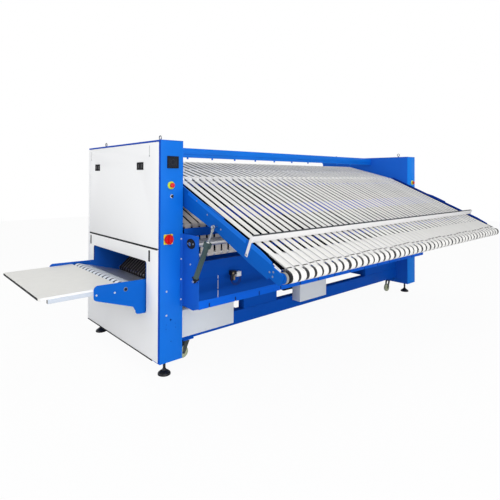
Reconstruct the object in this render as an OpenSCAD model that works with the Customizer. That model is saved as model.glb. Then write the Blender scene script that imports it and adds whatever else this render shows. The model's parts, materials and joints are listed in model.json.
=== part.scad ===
// Laundry folding machine: two towers carry a tilting belt table that takes in flat linen,
// the folding section behind it, and a cross conveyor that lays the folded piece on a shelf.
// X runs along the machine from the control tower, Y runs from the feed side to the back, Z is up.

/* [Towers] */
// Length over both towers
row_l = 4033; // [3400:1:4400]
// Thickness of one tower along the machine
tower_t = 205; // [180:1:240]
// Depth of a tower from front to back
tower_d = 1464; // [1440:1:1600]
// Height of a tower
tower_h = 1750; // [1745:1:1900]
// Height of the towers' lower edge above the floor
ground_gap = 130; // [124:1:170]
// Depth of the closed columns at a tower's front and back
column_d = 30; // [26:1:60]
// Thickness of the tower sheet
tower_wall = 5; // [3:0.5:8]
// Height of the cap strip that shows over the side panels
cap_strip = 14; // [8:1:30]

/* [Side panels] */
// Height of the seam between the side door and the lower cover, above the floor
seam_z = 1025; // [1000:1:1060]
// Gap left at that seam
seam_gap = 9; // [8:0.5:12]
// Depth of the folded panels
panel_d = 20; // [16:1:26]
// Sheet thickness of the panels
panel_wall = 2; // [1.5:0.5:3]
// Gap round the panels
panel_gap = 2; // [1:0.5:5]
// Radius of the door's hinge pins
door_pin_r = 3; // [2.5:0.5:4]
// Width of a door latch
latch_w = 115; // [90:1:140]
// Height of a door latch
latch_h = 62; // [50:1:80]
// Thickness of a latch paddle
latch_t = 6; // [5:0.5:8]
// Distance of the front latch from the tower's front
latch_front_y = 342; // [300:1:420]
// Distance of the rear latch from the tower's back
latch_back_y = 224; // [164:1:314]
// Distance of the latches' centre below the tower's top
latch_below = 202; // [100:1:280]

/* [Delivery opening] */
// Near edge of the opening
mouth_y0 = 220; // [200:1:240]
// Far edge of the opening
mouth_y1 = 1325; // [1300:1:1340]
// Lower edge of the opening above the floor
mouth_z0 = 476; // [460:1:490]
// Upper edge of the opening above the floor
mouth_z1 = 900; // [880:1:940]
// Corner radius of the opening
mouth_r = 28; // [15:1:45]

/* [Feed table] */
// Slope of the table's belts at rest
table_slope = 23.5; // [18:0.5:26]
// Length of the table's belts between their rollers
table_run = 1451; // [1300:1:1500]
// Distance of the bend line behind the towers' front
bend_y = 210; // [190:1:240]
// Height of the bend line above the floor
bend_z = 1580; // [1560:1:1600]
// Radius of the roller at the bend
kink_r = 30; // [25:1:34]
// Radius of the front roller
front_r = 38; // [32:1:46]
// Radius of the roller shafts
shaft_r = 15; // [10:0.5:18]
// Running clearance of shafts and pins
fit_gap = 0.05; // [0.02:0.01:0.1]
// Thickness of the table's side plates
plate_t = 8; // [5:0.5:12]
// Gap between the side plates and the towers
plate_gap = 7; // [4:1:9]
// Height of the side plates above the belts
plate_proud = 16; // [5:1:18]

/* [Belts] */
// Width of a belt
belt_w = 50; // [30:1:60]
// Distance from one belt to the next
belt_pitch = 76.5; // [62:0.5:76.5]
// Thickness of a belt
belt_t = 2; // [1.5:0.5:3]
// Gap between a belt and its roller
belt_clear = 0.4; // [0.3:0.1:1]
// Slope of the upper belts
upper_slope = 13.8; // [10:0.1:18]
// Length of the upper belts
upper_run = 710; // [600:1:760]
// Radius of the upper rear roller
top_r = 38; // [30:1:44]
// Radius of the nose bars
nose_r = 12; // [10:1:14]
// Width of a lower belt
lower_belt_w = 58; // [40:1:64]

/* [Guide bar] */
// Distance of the guide bar from the bend, down the table
guide_s = 1120; // [900:1:1250]
// Height of the bar over the belts
guide_lift = 20; // [12:1:40]
// Depth of the bar's face
guide_h = 46; // [35:1:70]
// Width of the bar's top lip
guide_lip = 22; // [12:1:35]

/* [Tilt cylinders] */
// Distance of the lower pivot in front of the towers
base_y = 208; // [195:1:210]
// Height of the lower pivot above the floor
base_z = 787; // [760:1:820]
// Distance of the rod pivot in front of the towers
lug_y = 448; // [430:1:470]
// Height of the rod pivot above the floor
lug_z = 1226; // [1200:1:1250]
// Distance of the cylinders' centre line inside the towers' inner face
cyl_inset = 25; // [23:1:26]
// Outer radius of the cylinder tube
barrel_r = 21; // [18:0.5:22]
// Bore radius of the cylinder
bore_r = 18; // [15:0.5:18]
// Length of the cylinder from its pivot
barrel_l = 360; // [330:1:380]
// Radius of the piston rod
rod_r = 8; // [6:0.5:10]
// Radius of the pivot pins
pin_r = 6; // [5:0.5:8]
// Clearance in the eye where the linkage is opened
eye_play = 3; // [2.5:0.1:4]

/* [Tower brackets] */
// Reach of the brackets in front of the towers
bracket_y = 222; // [215:1:240]
// Lower edge of the brackets above the floor
bracket_z0 = 552; // [530:1:570]
// Upper edge of the brackets above the floor
bracket_z1 = 1130; // [1110:1:1160]
// Sheet thickness of the brackets
bracket_t = 6; // [4:0.5:8]
// Width of the bolted flange
bracket_flange = 24; // [18:1:30]

/* [Lower rollers] */
// Radius of the lower front roller
lower_r = 31; // [24:1:34]
// Distance of that roller in front of the towers
lower_y = 120; // [100:1:140]
// Height of that roller above the floor
lower_z = 1062; // [1040:1:1070]
// Radius of the lower drive roller
drive_r = 24; // [18:1:28]
// Height of the lower drive roller above the floor
drive_z = 930; // [915:1:950]
// Distance of the lower drive roller behind the towers' front
drive_y = 76; // [74:1:90]

/* [Frame] */
// Height of the base beams
beam_h = 126; // [100:1:130]
// Depth of the base beams
beam_d = 80; // [60:1:100]
// Lower edge of the base beams above the floor
beam_z = 202; // [195:1:215]
// Distance of the front base beam behind the towers' front
beam_y = 160; // [150:1:165]
// Height of the top beam
top_h = 58; // [40:1:80]
// Depth of the top beam
top_d = 60; // [40:1:90]
// Distance of the top beam behind the towers' front
top_y = 570; // [520:1:620]
// Height of the slim rail under the top beam
slim_h = 33; // [20:1:40]
// Height of the lower front rail
rail_h = 65; // [50:1:80]
// Lower edge of the lower front rail above the floor
rail_z = 565; // [560:1:580]
// Distance between the notches of the lower rail
notch_pitch = 267; // [200:1:300]

/* [Delivery conveyor] */
// Reach of the delivery side plates out of the tower
wing_l = 426; // [400:1:440]
// Distance of the front delivery plate behind the towers' front
wing_y0 = 235; // [230:1:240]
// Distance of the rear delivery plate's outer face behind the towers' front
wing_y1 = 1310; // [1300:1:1315]
// Thickness of the delivery plates
wing_t = 5; // [4:0.5:8]
// Radius of the delivery rollers
nose_roller_r = 40; // [34:1:42]
// Height of the delivery rollers above the floor
delivery_z = 700; // [694:1:704]
// Reach of the delivery nose roller out of the tower
nose_reach = 172; // [160:1:180]
// Number of delivery belts
delivery_belts_n = 14; // [8:1:14]
// Width of a delivery belt
delivery_belt_w = 46; // [30:1:50]

/* [Receiving shelf] */
// Reach of the shelf's outer edge out of the tower
shelf_reach = 812; // [700:1:900]
// Height of the shelf's top above the floor
shelf_z = 740; // [736:1:744]
// Thickness of the shelf board
shelf_t = 18; // [15:1:22]
// Height of the shelf's support arms
arm_h = 30; // [24:1:44]
// Width of the shelf's support arms
arm_w = 30; // [20:1:40]
// Radius of the shelf's corners
shelf_corner = 16; // [4:1:30]

/* [Feet and casters] */
// Radius of a levelling foot's base
foot_r = 52; // [45:1:65]
// Radius of a foot's threaded stem
stem_r = 11; // [8:0.5:12]
// Distance of a foot from the tower's front or back
foot_inset = 100; // [80:1:140]
// Radius of a caster wheel
wheel_r = 50; // [40:1:52]
// Width of a caster wheel
wheel_w = 32; // [26:1:36]
// Gap between the caster wheels and the floor
caster_lift = 34; // [20:1:40]
// Distance of the casters from the towers' inner faces
caster_inset = 165; // [120:1:250]
// Trail of the caster wheels behind their swivels
caster_trail = 32; // [25:1:40]

/* [Controls] */
// Side of the touch screen
screen_w = 104; // [80:1:120]
// Distance of the touch screen's centre below the tower's top
screen_below = 175; // [100:1:200]
// Distance of the emergency stops below the tower's top
stop_below = 358; // [330:1:380]
// Radius of the emergency stop's collar
stop_collar_r = 31; // [28:1:36]
// Radius of the emergency stop's mushroom
stop_r = 20; // [16:1:22]
// Travel of the emergency stop
stop_travel = 5; // [4:0.5:6]
// Distance of the selector below the tower's top
selector_below = 445; // [425:1:470]
// Distance of the main switch below the tower's top
switch_below = 783; // [700:1:820]
// Side of the main switch's plate
switch_w = 78; // [70:1:96]
// Radius of the main switch's knob
switch_r = 39; // [28:1:42]
// Distance of the controls from the tower's outer face
control_x = 92; // [80:1:110]

/* [Hidden] */
$fn = 48;

// Colours
blue = [0.07, 0.38, 0.86];
deep_blue = [0.05, 0.25, 0.65];
white = [0.92, 0.92, 0.90];
cream = [0.93, 0.91, 0.86];
taupe = [0.66, 0.62, 0.58];
steel = [0.75, 0.76, 0.77];
grey = [0.76, 0.78, 0.80];
dark = [0.10, 0.10, 0.11];
red = [0.80, 0.05, 0.08];
yellow = [0.95, 0.80, 0.10];

// Places that several pieces share
touch = 0.3;
sheet = 3;
panel_y = beam_y;
tower_z1 = ground_gap + tower_h;
inner0 = tower_t;
inner1 = row_l - tower_t;
span = inner1 - inner0;
mid_x = row_l / 2;
plate_x = inner0 + plate_gap;
rib_w = 34;
rib_x1 = plate_x + plate_t + rib_w;
roller_x0 = rib_x1 + 8;
belt_count = 1 + floor((row_l - 2 * roller_x0 - belt_w) / belt_pitch);
belt_field = (belt_count - 1) * belt_pitch + belt_w;
belt_x0 = mid_x - belt_field / 2;
bearing_r = 40;
bearing_t = 14;

function along(a) = [cos(a), sin(a)];
function upright(a) = [-sin(a), cos(a)];

// The bend line, the rollers on both sides of it and the nose bar behind it
bend = [bend_y, bend_z];
kink = bend - (kink_r + belt_t) * upright(table_slope);
front = bend - table_run * along(table_slope) - (front_r + belt_t) * upright(table_slope);
top = bend + upper_run * along(upper_slope) - (top_r + belt_t) * upright(upper_slope);
nose_s = kink_r + nose_r + 2 * belt_t + 8;
nose = bend + nose_s * along(upper_slope) - (nose_r + belt_t) * upright(upper_slope);
mid_bar_r = 10;
mid_bar = bend + upper_run / 2 * along(upper_slope) - (mid_bar_r + belt_t + 2) * upright(upper_slope);

// The lower conveyor's rollers
lower_roller = [-lower_y, lower_z];
lower_drive = [drive_y, drive_z];
lower_nose = [drive_y, drive_z + 255];
lower_rear = [drive_y + 570, drive_z + 500];

// The tilt cylinders' pivots
base_pin = [-base_y, base_z];
lug_pin = [-lug_y, lug_z];
cyl_len = norm(lug_pin - base_pin);
cyl_angle = atan2(lug_pin[1] - base_pin[1], lug_pin[0] - base_pin[0]);
cyl_x = inner0 - cyl_inset;

// The delivery conveyor's rollers, as X and Z
wing_in0 = wing_y0 + wing_t;
wing_in1 = wing_y1 - wing_t;
wing_w = wing_in1 - wing_in0;
nose_roller = [-nose_reach, delivery_z];
tail_r = 14;
tail_bar = [330, delivery_z - 120];
slide_bar_r = 24;
slide_low = [285, delivery_z - 57];
slide_high = slide_low + 330 * along(40);

// Points on the arcs of a belt: the chords stay clear of the roller
belt_steps = 8;
function inner_r(r) = (r + belt_clear) / cos(90 / belt_steps);
function outer_r(r) = inner_r(r) + belt_t;
function arc(c, r, a0, a1) =
  [for (i = [0 : belt_steps]) c + r * along(a0 + (a1 - a0) * i / belt_steps)];

// Outline of a band round circles that are listed counterclockwise as centre and radius
function leave(a, b) =
  let (d = b[0] - a[0]) atan2(d[1], d[0]) - acos((a[1] - b[1]) / norm(d));
function turned(a, b) = b < a ? turned(a, b + 360) : b - a >= 360 ? turned(a, b - 360) : b;
function band(cs) =
  let (n = len(cs))
  [for (i = [0 : n - 1])
    let (a0 = leave(cs[(i + n - 1) % n], cs[i]), a1 = turned(a0, leave(cs[i], cs[(i + 1) % n])))
    each arc(cs[i][0], cs[i][1], a0, a1)];
function grown(cs, outside) = [for (c = cs) [c[0], outside ? outer_r(c[1]) : inner_r(c[1])]];

table_wheels = [[front, front_r], [kink, kink_r]];
upper_wheels = [[nose, nose_r], [top, top_r]];
lower_wheels = [[lower_drive, drive_r], [lower_rear, nose_r], [lower_nose, nose_r]];
delivery_wheels = [[nose_roller, nose_roller_r], [tail_bar, tail_r]];
slide_wheels = [[slide_low, slide_bar_r], [slide_high, slide_bar_r]];

// The row's origin is under the middle of the whole box, on the floor
reach_y = min([for (p = band(grown(table_wheels, true))) p[0]]);
box_x = (row_l - shelf_reach) / 2;
box_y = (tower_d + reach_y) / 2;

module place() translate([-box_x, -box_y, 0]) children();
module run_x(x0, l) translate([x0, 0, 0]) rotate([90, 0, 90]) linear_extrude(l) children();
module run_y(y0, l) translate([0, y0 + l, 0]) rotate([90, 0, 0]) linear_extrude(l) children();
module rod_x(x0, l, c, r) translate([x0, c[0], c[1]]) rotate([0, 90, 0]) cylinder(r = r, h = l);
module rod_y(y0, l, c, r) translate([c[0], y0, c[1]]) rotate([-90, 0, 0]) cylinder(r = r, h = l);
module box(a, b) translate(a) cube(b - a);
module mirrored() translate([row_l, 0, 0]) mirror([1, 0, 0]) children();
module both_ends() {
  children();
  mirrored() children();
}

// Closed sheet box, and a square tube that is open at its two X ends
module shell_box(a, b, wall) difference() {
  box(a, b);
  box(a + [wall, wall, wall], b - [wall, wall, wall]);
}
module tube_x(a, b, wall) difference() {
  box(a, b);
  box([a[0] - 1, a[1] + wall, a[2] + wall], [b[0] + 1, b[1] - wall, b[2] - wall]);
}

// One belt, drawn as the band between its inner and its outer outline
module belt(wheels) difference() {
  polygon(band(grown(wheels, true)));
  polygon(band(grown(wheels, false)));
}

module rounded(a, b, r) {
  translate([a[0] + r, a[1]]) square([b[0] - a[0] - 2 * r, b[1] - a[1]]);
  translate([a[0], a[1] + r]) square([b[0] - a[0], b[1] - a[1] - 2 * r]);
  for (x = [a[0] + r, b[0] - r], y = [a[1] + r, b[1] - r]) translate([x, y]) circle(r);
}

// A tube roller along X with closed ends and a stub shaft at each end
roller_wall = 4;
roller_end = 12;
module tube_roller(x0, l, r) difference() {
  rod_x(x0, l, [0, 0], r);
  rod_x(x0 + roller_end, l - 2 * roller_end, [0, 0], r - roller_wall);
}
module roller(c, r, x0, shaft_x) translate([0, c[0], c[1]]) {
  tube_roller(x0, row_l - 2 * x0, r);
  both_ends() rod_x(shaft_x, x0 - shaft_x + 1, [0, 0], shaft_r);
}

// Feet stand at the towers' corners
foot_x = 100;
boss_h = 22;
boss_r = 20;

// Door hinge pins lie in the closed columns
door_y0 = column_d + panel_gap;
door_y1 = tower_d - door_y0;
door_top = tower_z1 - cap_strip - panel_gap;
door_pin = [door_pin_r + 1.5, seam_z + door_pin_r + 3];
door_pin_l = 8;

// The box of one tower, open on its outer side where the panels go, and the lid on top of it
lip = 3;
lid_z = tower_z1 - tower_wall;
module tower_lid() box([0, 0, lid_z], [tower_t, tower_d, tower_z1]);
module tower_box() difference() {
  box([0, 0, ground_gap], [tower_t, tower_d, lid_z - touch]);
  box([lip, column_d, ground_gap + tower_wall], [tower_t - tower_wall, tower_d - column_d, tower_z1]);
  box([-1, column_d, ground_gap + tower_wall],
      [lip + 1, tower_d - column_d, tower_z1 - cap_strip]);
  for (y = [lip, tower_d - column_d + lip])
    box([lip, y, ground_gap + tower_wall], [tower_t - lip, y + column_d - 2 * lip, tower_z1]);
}
module tower() difference() {
  union() {
    tower_box();
    for (y = [foot_inset, tower_d - foot_inset])
      translate([foot_x, y, ground_gap]) cylinder(r = boss_r, h = boss_h);
  }
  for (y = [foot_inset, tower_d - foot_inset])
    translate([foot_x, y, ground_gap - 1]) cylinder(r = stem_r + fit_gap, h = boss_h + 2);
  for (c = [kink, top, lower_drive])
    rod_x(inner0 - tower_wall - 1, tower_wall + 2, c, shaft_r + 2);
}
// Holes in the control tower's front sheet, as X, height and radius
front_holes = [[97, 460, 7], [101, 290, 4], [60, 427, 3], [56, 395, 3], [137, 425, 3], [143, 392, 3]];
motor_at = [1150, 1250];
motor_pulley_r = 45;
top_pulley_r = 60;
module left_tower_shell() place() color(blue) {
  difference() {
    union() {
      tower();
      for (y = [column_d - 14, tower_d - column_d])
        box([lip - 1, y, door_pin[1] - 10], [14, y + 14, door_pin[1] + 10]);
    }
    rod_y(column_d - 10, 12, door_pin, door_pin_r + fit_gap);
    rod_y(tower_d - column_d - 2, 12, door_pin, door_pin_r + fit_gap);
    rod_x(inner0 - tower_wall - 1, tower_wall + 2, motor_at, 16);
    for (h = front_holes) rod_y(-1, lip + 2, [h[0], h[1]], h[2]);
    box([inner0 - tower_wall - 1, wing_y0, mouth_z0 - 6], [inner0 + 1, wing_y1, mouth_z1 + 6]);
  }
  tower_lid();
}
module right_tower_shell() place() color(blue) mirrored() {
  tower();
  tower_lid();
}

// A folded panel with its outer face at the tower's side
module pan(y0, y1, z0, z1) difference() {
  box([0, y0, z0], [panel_d, y1, z1]);
  box([panel_wall, y0 + panel_wall, z0 + panel_wall],
      [panel_d + 1, y1 - panel_wall, z1 - panel_wall]);
}
cover_z0 = ground_gap + tower_wall + touch;
cover_z1 = seam_z - seam_gap;
slot_w = 16;
slot_l = 84;
slot_z = 908;
module left_lower_cover() place() color(white) difference() {
  pan(door_y0, door_y1, cover_z0, cover_z1);
  run_x(-1, panel_wall + 2) rounded([mouth_y0, mouth_z0], [mouth_y1, mouth_z1], mouth_r);
  for (y = [175, tower_d - 69])
    run_x(-1, panel_wall + 2) rounded([y - slot_w / 2, slot_z], [y + slot_w / 2, slot_z + slot_l], 5);
}

// The side door hangs on two pins at its lower corners
latch_gap = 1.5;
latch_rim = 3;
latch_drop = latch_h / 2 - 6;
latch_rear_y = tower_d - latch_back_y;
slit_w = 3;
slit_l = 84;
slit_below = 122;
slit_hole_r = 5;
slit_y = [180, tower_d - 67];
latch_z = tower_z1 - latch_below;
latch_pin_r = 2;
module latch_places() for (y = [latch_front_y, latch_rear_y]) translate([0, y, latch_z]) children();
module left_side_door() place() color(white) difference() {
  union() {
    difference() {
      pan(door_y0, door_y1, seam_z, door_top);
      latch_places() box([-1, -latch_w / 2 - latch_gap, -latch_h / 2 - latch_gap],
                         [panel_d, latch_w / 2 + latch_gap, latch_h / 2 + latch_gap]);
    }
    latch_places() difference() {
      box([0, -latch_w / 2 - latch_gap - latch_rim, -latch_h / 2 - latch_gap - latch_rim],
          [panel_d - 2, latch_w / 2 + latch_gap + latch_rim, latch_h / 2 + latch_gap + latch_rim]);
      box([-1, -latch_w / 2 - latch_gap, -latch_h / 2 - latch_gap],
          [panel_d, latch_w / 2 + latch_gap, latch_h / 2 + latch_gap]);
    }
    rod_y(door_y0 - door_pin_l, door_pin_l + 1, door_pin, door_pin_r);
    rod_y(door_y1 - 1, door_pin_l + 1, door_pin, door_pin_r);
  }
  for (y = slit_y) {
    run_x(-1, panel_wall + 2) translate([y, tower_z1 - slit_below]) square([slit_w, slit_l]);
    rod_x(-1, panel_wall + 2, [y, tower_z1 - slit_below], slit_hole_r);
  }
  latch_places() rod_y(-latch_w / 2 - latch_gap - latch_rim, latch_w + 2 * (latch_gap + latch_rim),
                       [latch_t / 2, latch_drop], latch_pin_r + fit_gap);
}
module latch(y) place() color(dark) translate([0, y, latch_z]) {
  difference() {
    box([0, -latch_w / 2, -latch_h / 2], [latch_t, latch_w / 2, latch_h / 2]);
    box([-1, -latch_w / 2 + 10, -latch_h / 2 + 8], [2, latch_w / 2 - 10, latch_h / 2 - 16]);
  }
  rod_y(-latch_w / 2 - latch_gap - latch_rim + touch, latch_w + 2 * (latch_gap + latch_rim - touch),
        [latch_t / 2, latch_drop], latch_pin_r);
}
module front_door_latch() latch(latch_front_y);
module rear_door_latch() latch(latch_rear_y);

// Fixed covers on the far tower's side and between the towers at the back
post_y1 = tower_d - 46;
post_w = 40;
rear_top = 1600;
rear_count = 3;
beam_top = beam_z + beam_h;
module side_and_rear_covers() place() color(white) {
  mirrored() {
    pan(door_y0, door_y1, seam_z, door_top + panel_gap - touch);
    pan(door_y0, door_y1, cover_z0, cover_z1);
  }
  rear_w = (span - 2) / rear_count;
  for (i = [0 : rear_count - 1])
    difference() {
      box([inner0 + 2 + i * rear_w, post_y1, beam_top + 8],
          [inner0 + i * rear_w + rear_w - 2, post_y1 + panel_d, rear_top - 4]);
      box([inner0 + 2 + i * rear_w + panel_wall, post_y1 - 1, beam_top + 8 + panel_wall],
          [inner0 + i * rear_w + rear_w - 2 - panel_wall, post_y1 + panel_d - panel_wall,
           rear_top - 4 - panel_wall]);
    }
}

// The top beam with the slim rail under it and the nozzles that hang from the rail
top_z0 = tower_z1 - 10 - top_h;
slim_y = top_y + 8;
slim_d = 26;
nozzle_pitch = 300;
module top_beam() place() color(blue) {
  tube_x([inner0, top_y, top_z0], [inner1, top_y + top_d, top_z0 + top_h], sheet);
  tube_x([inner0, slim_y, top_z0 - slim_h], [inner1, slim_y + slim_d, top_z0], sheet);
  for (x = [inner0 + 430 : nozzle_pitch : inner1 - 200])
    translate([x, slim_y + slim_d / 2, top_z0 - slim_h - 16]) cylinder(r = 9, h = 16);
}

// The base frame: two long beams, cross members, the leg boxes and the rear posts
rear_beam_y = post_y1 - beam_d;
cross_w = 60;
member_x = [900, 2180, inner1 - 128];
leg_x = [[1000, 1450], [3060, inner1]];
module base_frame() place() color(deep_blue) {
  for (y = [beam_y, rear_beam_y])
    tube_x([inner0, y, beam_z], [inner1, y + beam_d, beam_top], sheet);
  for (x = member_x)
    shell_box([x, beam_y + beam_d + touch, beam_top - cross_w],
              [x + cross_w, rear_beam_y - touch, beam_top], sheet);
  for (x = leg_x)
    shell_box([x[0], panel_y + sheet, beam_top + touch], [x[1], beam_y + beam_d, rail_z], sheet);
  for (i = [1 : rear_count - 1])
    shell_box([inner0 + i * span / rear_count - post_w / 2, post_y1 - post_w, beam_top + touch],
              [inner0 + i * span / rear_count + post_w / 2, post_y1, rear_top - post_w - touch],
              sheet);
  tube_x([inner0, post_y1 - post_w, rear_top - post_w], [inner1, post_y1, rear_top], sheet);
}

// The notched rail in front, held by the brackets and by arms from the cross panel
step_z = 708;
cross_y = 120;
cross_top = 850;
rail_x0 = inner0 + bracket_t;
arm_x = [1500, 2300, 3100, inner1 - 228];
notch_w = 10;
notch_h = 36;
module lower_rail() place() color(blue) {
  difference() {
    union() {
      box([rail_x0, -bracket_y, rail_z], [row_l - rail_x0, -bracket_y + sheet, rail_z + rail_h]);
      box([rail_x0, -bracket_y, rail_z], [row_l - rail_x0, -bracket_y + 36, rail_z + sheet]);
    }
    for (x = [rail_x0 + 95 : notch_pitch : inner1 - 40])
      box([x, -bracket_y - 1, rail_z - 1], [x + notch_w, -bracket_y + 12, rail_z + notch_h]);
  }
  for (x = arm_x)
    box([x, -bracket_y + 1, rail_z + 1], [x + 40, panel_y, rail_z + 41]);
}

// The folded panels across the front, with rows of slots at their seams
slot_x = [inner0 + 265, inner0 + 479, inner1 - 488, inner1 - 274];
row_slots = [[-214, -147], [-138, -54], [-45, -6]];
row_slot_w = 9;
strip_y = -12;
strip_z = 1102;
strip_h = 66;
module lower_cross_panels() place() color(deep_blue) {
  difference() {
    box([inner0, panel_y, step_z - 220], [inner1, panel_y + sheet, step_z]);
    for (x = slot_x, z = row_slots)
      box([x, panel_y - 1, step_z + z[0]], [x + row_slot_w, panel_y + sheet + 1, step_z + z[1]]);
  }
  box([inner0, cross_y, step_z - sheet], [inner1, panel_y + sheet, step_z]);
  box([inner0, cross_y, step_z - sheet], [inner1, cross_y + sheet, cross_top]);
  box([inner0, cross_y, cross_top - sheet], [inner1, cross_y + 36, cross_top]);
  box([rail_x0, strip_y, strip_z], [row_l - rail_x0, strip_y + sheet, strip_z + strip_h]);
  box([rail_x0, strip_y, strip_z + strip_h - sheet], [row_l - rail_x0, strip_y + 30, strip_z + strip_h]);
}

// Folded brackets on the towers' inner corners
module bracket_plate() run_x(inner0, bracket_t) polygon([
  [0, bracket_z0], [-bracket_y * 0.67, bracket_z0 - 7], [-bracket_y, bracket_z0 + 18],
  [-bracket_y, bracket_z1 - 4], [-bracket_y + 6, bracket_z1], [0, bracket_z1]]);
module tilt_brackets() place() color(blue) both_ends() difference() {
  union() {
    bracket_plate();
    box([inner0 - bracket_flange, -4, bracket_z0], [inner0 + bracket_t, 0, bracket_z1]);
  }
  rod_x(inner0 - 1, bracket_t + 2, base_pin, pin_r + fit_gap);
  rod_x(inner0 - 1, bracket_t + 2, lower_roller, shaft_r + 2);
}

// Flange bearings inside the towers and on the brackets
module bearing(x, c) difference() {
  union() {
    rod_x(x, 6, c, bearing_r);
    rod_x(x, bearing_t, c, bearing_r * 0.6);
  }
  rod_x(x - 1, bearing_t + 2, c, shaft_r + fit_gap);
}
module flange_bearings() place() color(dark) both_ends() {
  for (c = [kink, top, lower_drive])
    translate([inner0 - tower_wall, 0, 0]) mirror([1, 0, 0]) bearing(0, c);
  translate([inner0, 0, 0]) mirror([1, 0, 0]) bearing(0, lower_roller);
}

// The light boxes for the electrics under the machine
cabinet_x1 = 848;
cabinet_y0 = 130;
cabinet_y1 = 560;
cabinet_z0 = beam_z + 34;
cabinet_z1 = 465;
control_x0 = 1682;
module electrical_boxes() place() color(grey) {
  difference() {
    union() {
      box([inner0, cabinet_y0, cabinet_z0], [cabinet_x1, beam_y, cabinet_z1]);
      box([inner0, cabinet_y0, beam_top], [cabinet_x1, cabinet_y1, cabinet_z1]);
    }
    box([inner0 + sheet, cabinet_y0 + sheet, cabinet_z0 + sheet],
        [cabinet_x1 - sheet, beam_y - sheet, cabinet_z1 - sheet]);
    box([inner0 + sheet, cabinet_y0 + sheet, beam_top + sheet],
        [cabinet_x1 - sheet, cabinet_y1 - sheet, cabinet_z1 - sheet]);
  }
  shell_box([control_x0, beam_y - 110, 286], [control_x0 + 433, beam_y, 465], sheet);
}

// The drive motor on the control tower and the cross conveyor's motor under the machine
motor_r = 70;
motor_shaft_r = 12;
belt_motor_x = 1710;
belt_motor_at = [330, 405];
belt_motor_r = 62;
belt_motor_l = 230;
module drive_motors() place() color(dark) {
  difference() {
    union() {
      rod_x(inner0, 14, motor_at, motor_r + 12);
      rod_x(inner0 + 14, 190, motor_at, motor_r);
      rod_x(inner0 + 204, 30, motor_at, motor_r - 8);
    }
    rod_x(inner0 - 1, 46, motor_at, motor_shaft_r + fit_gap);
  }
  rod_x(belt_motor_x, belt_motor_l, belt_motor_at, belt_motor_r);
  box([belt_motor_x + 85, panel_y + sheet, belt_motor_at[1] + 45],
      [belt_motor_x + 145, belt_motor_at[0] + 30, step_z - 188]);
}
pulley_x = 130;
pulley_w = 30;
module motor_pulley() place() color(steel) {
  rod_x(pulley_x, pulley_w, motor_at, motor_pulley_r);
  rod_x(pulley_x - 10, inner0 + 40 - pulley_x, motor_at, motor_shaft_r);
}
module drive_belt() place() color(dark)
  run_x(pulley_x + 3, pulley_w - 6) belt([[motor_at, motor_pulley_r], [top, top_pulley_r]]);

// Rollers and bars that the upper and the lower belts run on
bearing_x0 = inner0 - tower_wall - bearing_t - 3;
module kink_roller() place() color(steel) roller(kink, kink_r, roller_x0, bearing_x0);
module top_roller() place() color(steel) {
  roller(top, top_r, roller_x0, bearing_x0);
  rod_x(pulley_x - 10, bearing_x0 - pulley_x + 11, top, shaft_r);
  rod_x(pulley_x, pulley_w, top, top_pulley_r);
}
module belt_support_bars() place() color(steel) {
  for (c = [nose, lower_nose, lower_rear]) rod_x(inner0, span, c, nose_r);
  rod_x(inner0, span, mid_bar, mid_bar_r);
}
module belts(wheels, w) for (i = [0 : belt_count - 1])
  run_x(belt_x0 + i * belt_pitch + (belt_w - w) / 2, w) belt(wheels);
module upper_belts() place() color(cream) belts(upper_wheels, belt_w);
module table_belts() place() color(cream) belts(table_wheels, belt_w);
module lower_belts() place() color(taupe) belts(lower_wheels, lower_belt_w);

// The table's side plates with the front roller's bearing housings: points are the distance down
// the table and the depth under the belts
function on_table(s, d) = bend - s * along(table_slope) - d * upright(table_slope);
hub_r = 37;
plate_under = [[250, 134], [653, 112], [733, 103], [table_run - 266, 118], [table_run - 108, 117],
               [table_run - 104, 99]];
plate_end = table_run + 9;
plate_over = [[table_run - 103, 18], [table_run - 120, -4], [table_run - 241, -plate_proud],
              [790, -plate_proud], [783, -plate_proud - 10], [610, -plate_proud - 10],
              [530, -plate_proud], [0, -plate_proud]];
// Corner of the plate's front end round a point, between two turns
function plate_corner(s, d, r, a0, a1) =
  [for (a = [a0 : 15 : a1]) [plate_end - s + r * sin(a), d + r * cos(a)]];
module plate_shape() {
  polygon([
    kink, kink - hub_r * upright(table_slope),
    for (p = concat(plate_under, plate_corner(30, 69, 30, 0, 90), plate_corner(20, 38, 20, 90, 180),
                    plate_over)) on_table(p[0], p[1])]);
  translate(kink) circle(hub_r);
}
housing_r = front_r - 4;
housing_l = 20;
rib_s0 = 80;
rib_s1 = table_run - 91;
rib_d0 = 8;
rib_d1 = 60;
module table_side_plates() place() color(blue) both_ends() difference() {
  union() {
    run_x(plate_x, plate_t) plate_shape();
    run_x(plate_x + plate_t - 1, rib_w + 1) polygon([
      on_table(rib_s0, rib_d0), on_table(rib_s0, rib_d1), on_table(rib_s1, rib_d1),
      on_table(rib_s1, rib_d0)]);
    rod_x(plate_x + plate_t - 1, housing_l + 1, front, housing_r);
  }
  rod_x(plate_x - 1, plate_t + 2, kink, shaft_r + fit_gap);
  rod_x(plate_x + plate_t + 0.5, housing_l, front, shaft_r + fit_gap);
}
bar_s = [360, 835, 1180];
bar_r = 14;
// The deck sheet lies under the cross bars, between the belts' two runs
deck_s0 = 60;
deck_s1 = bar_s[2] + 20;
deck_d = belt_t + 2 + 2 * bar_r - 0.5;
deck_t = 2;
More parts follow.
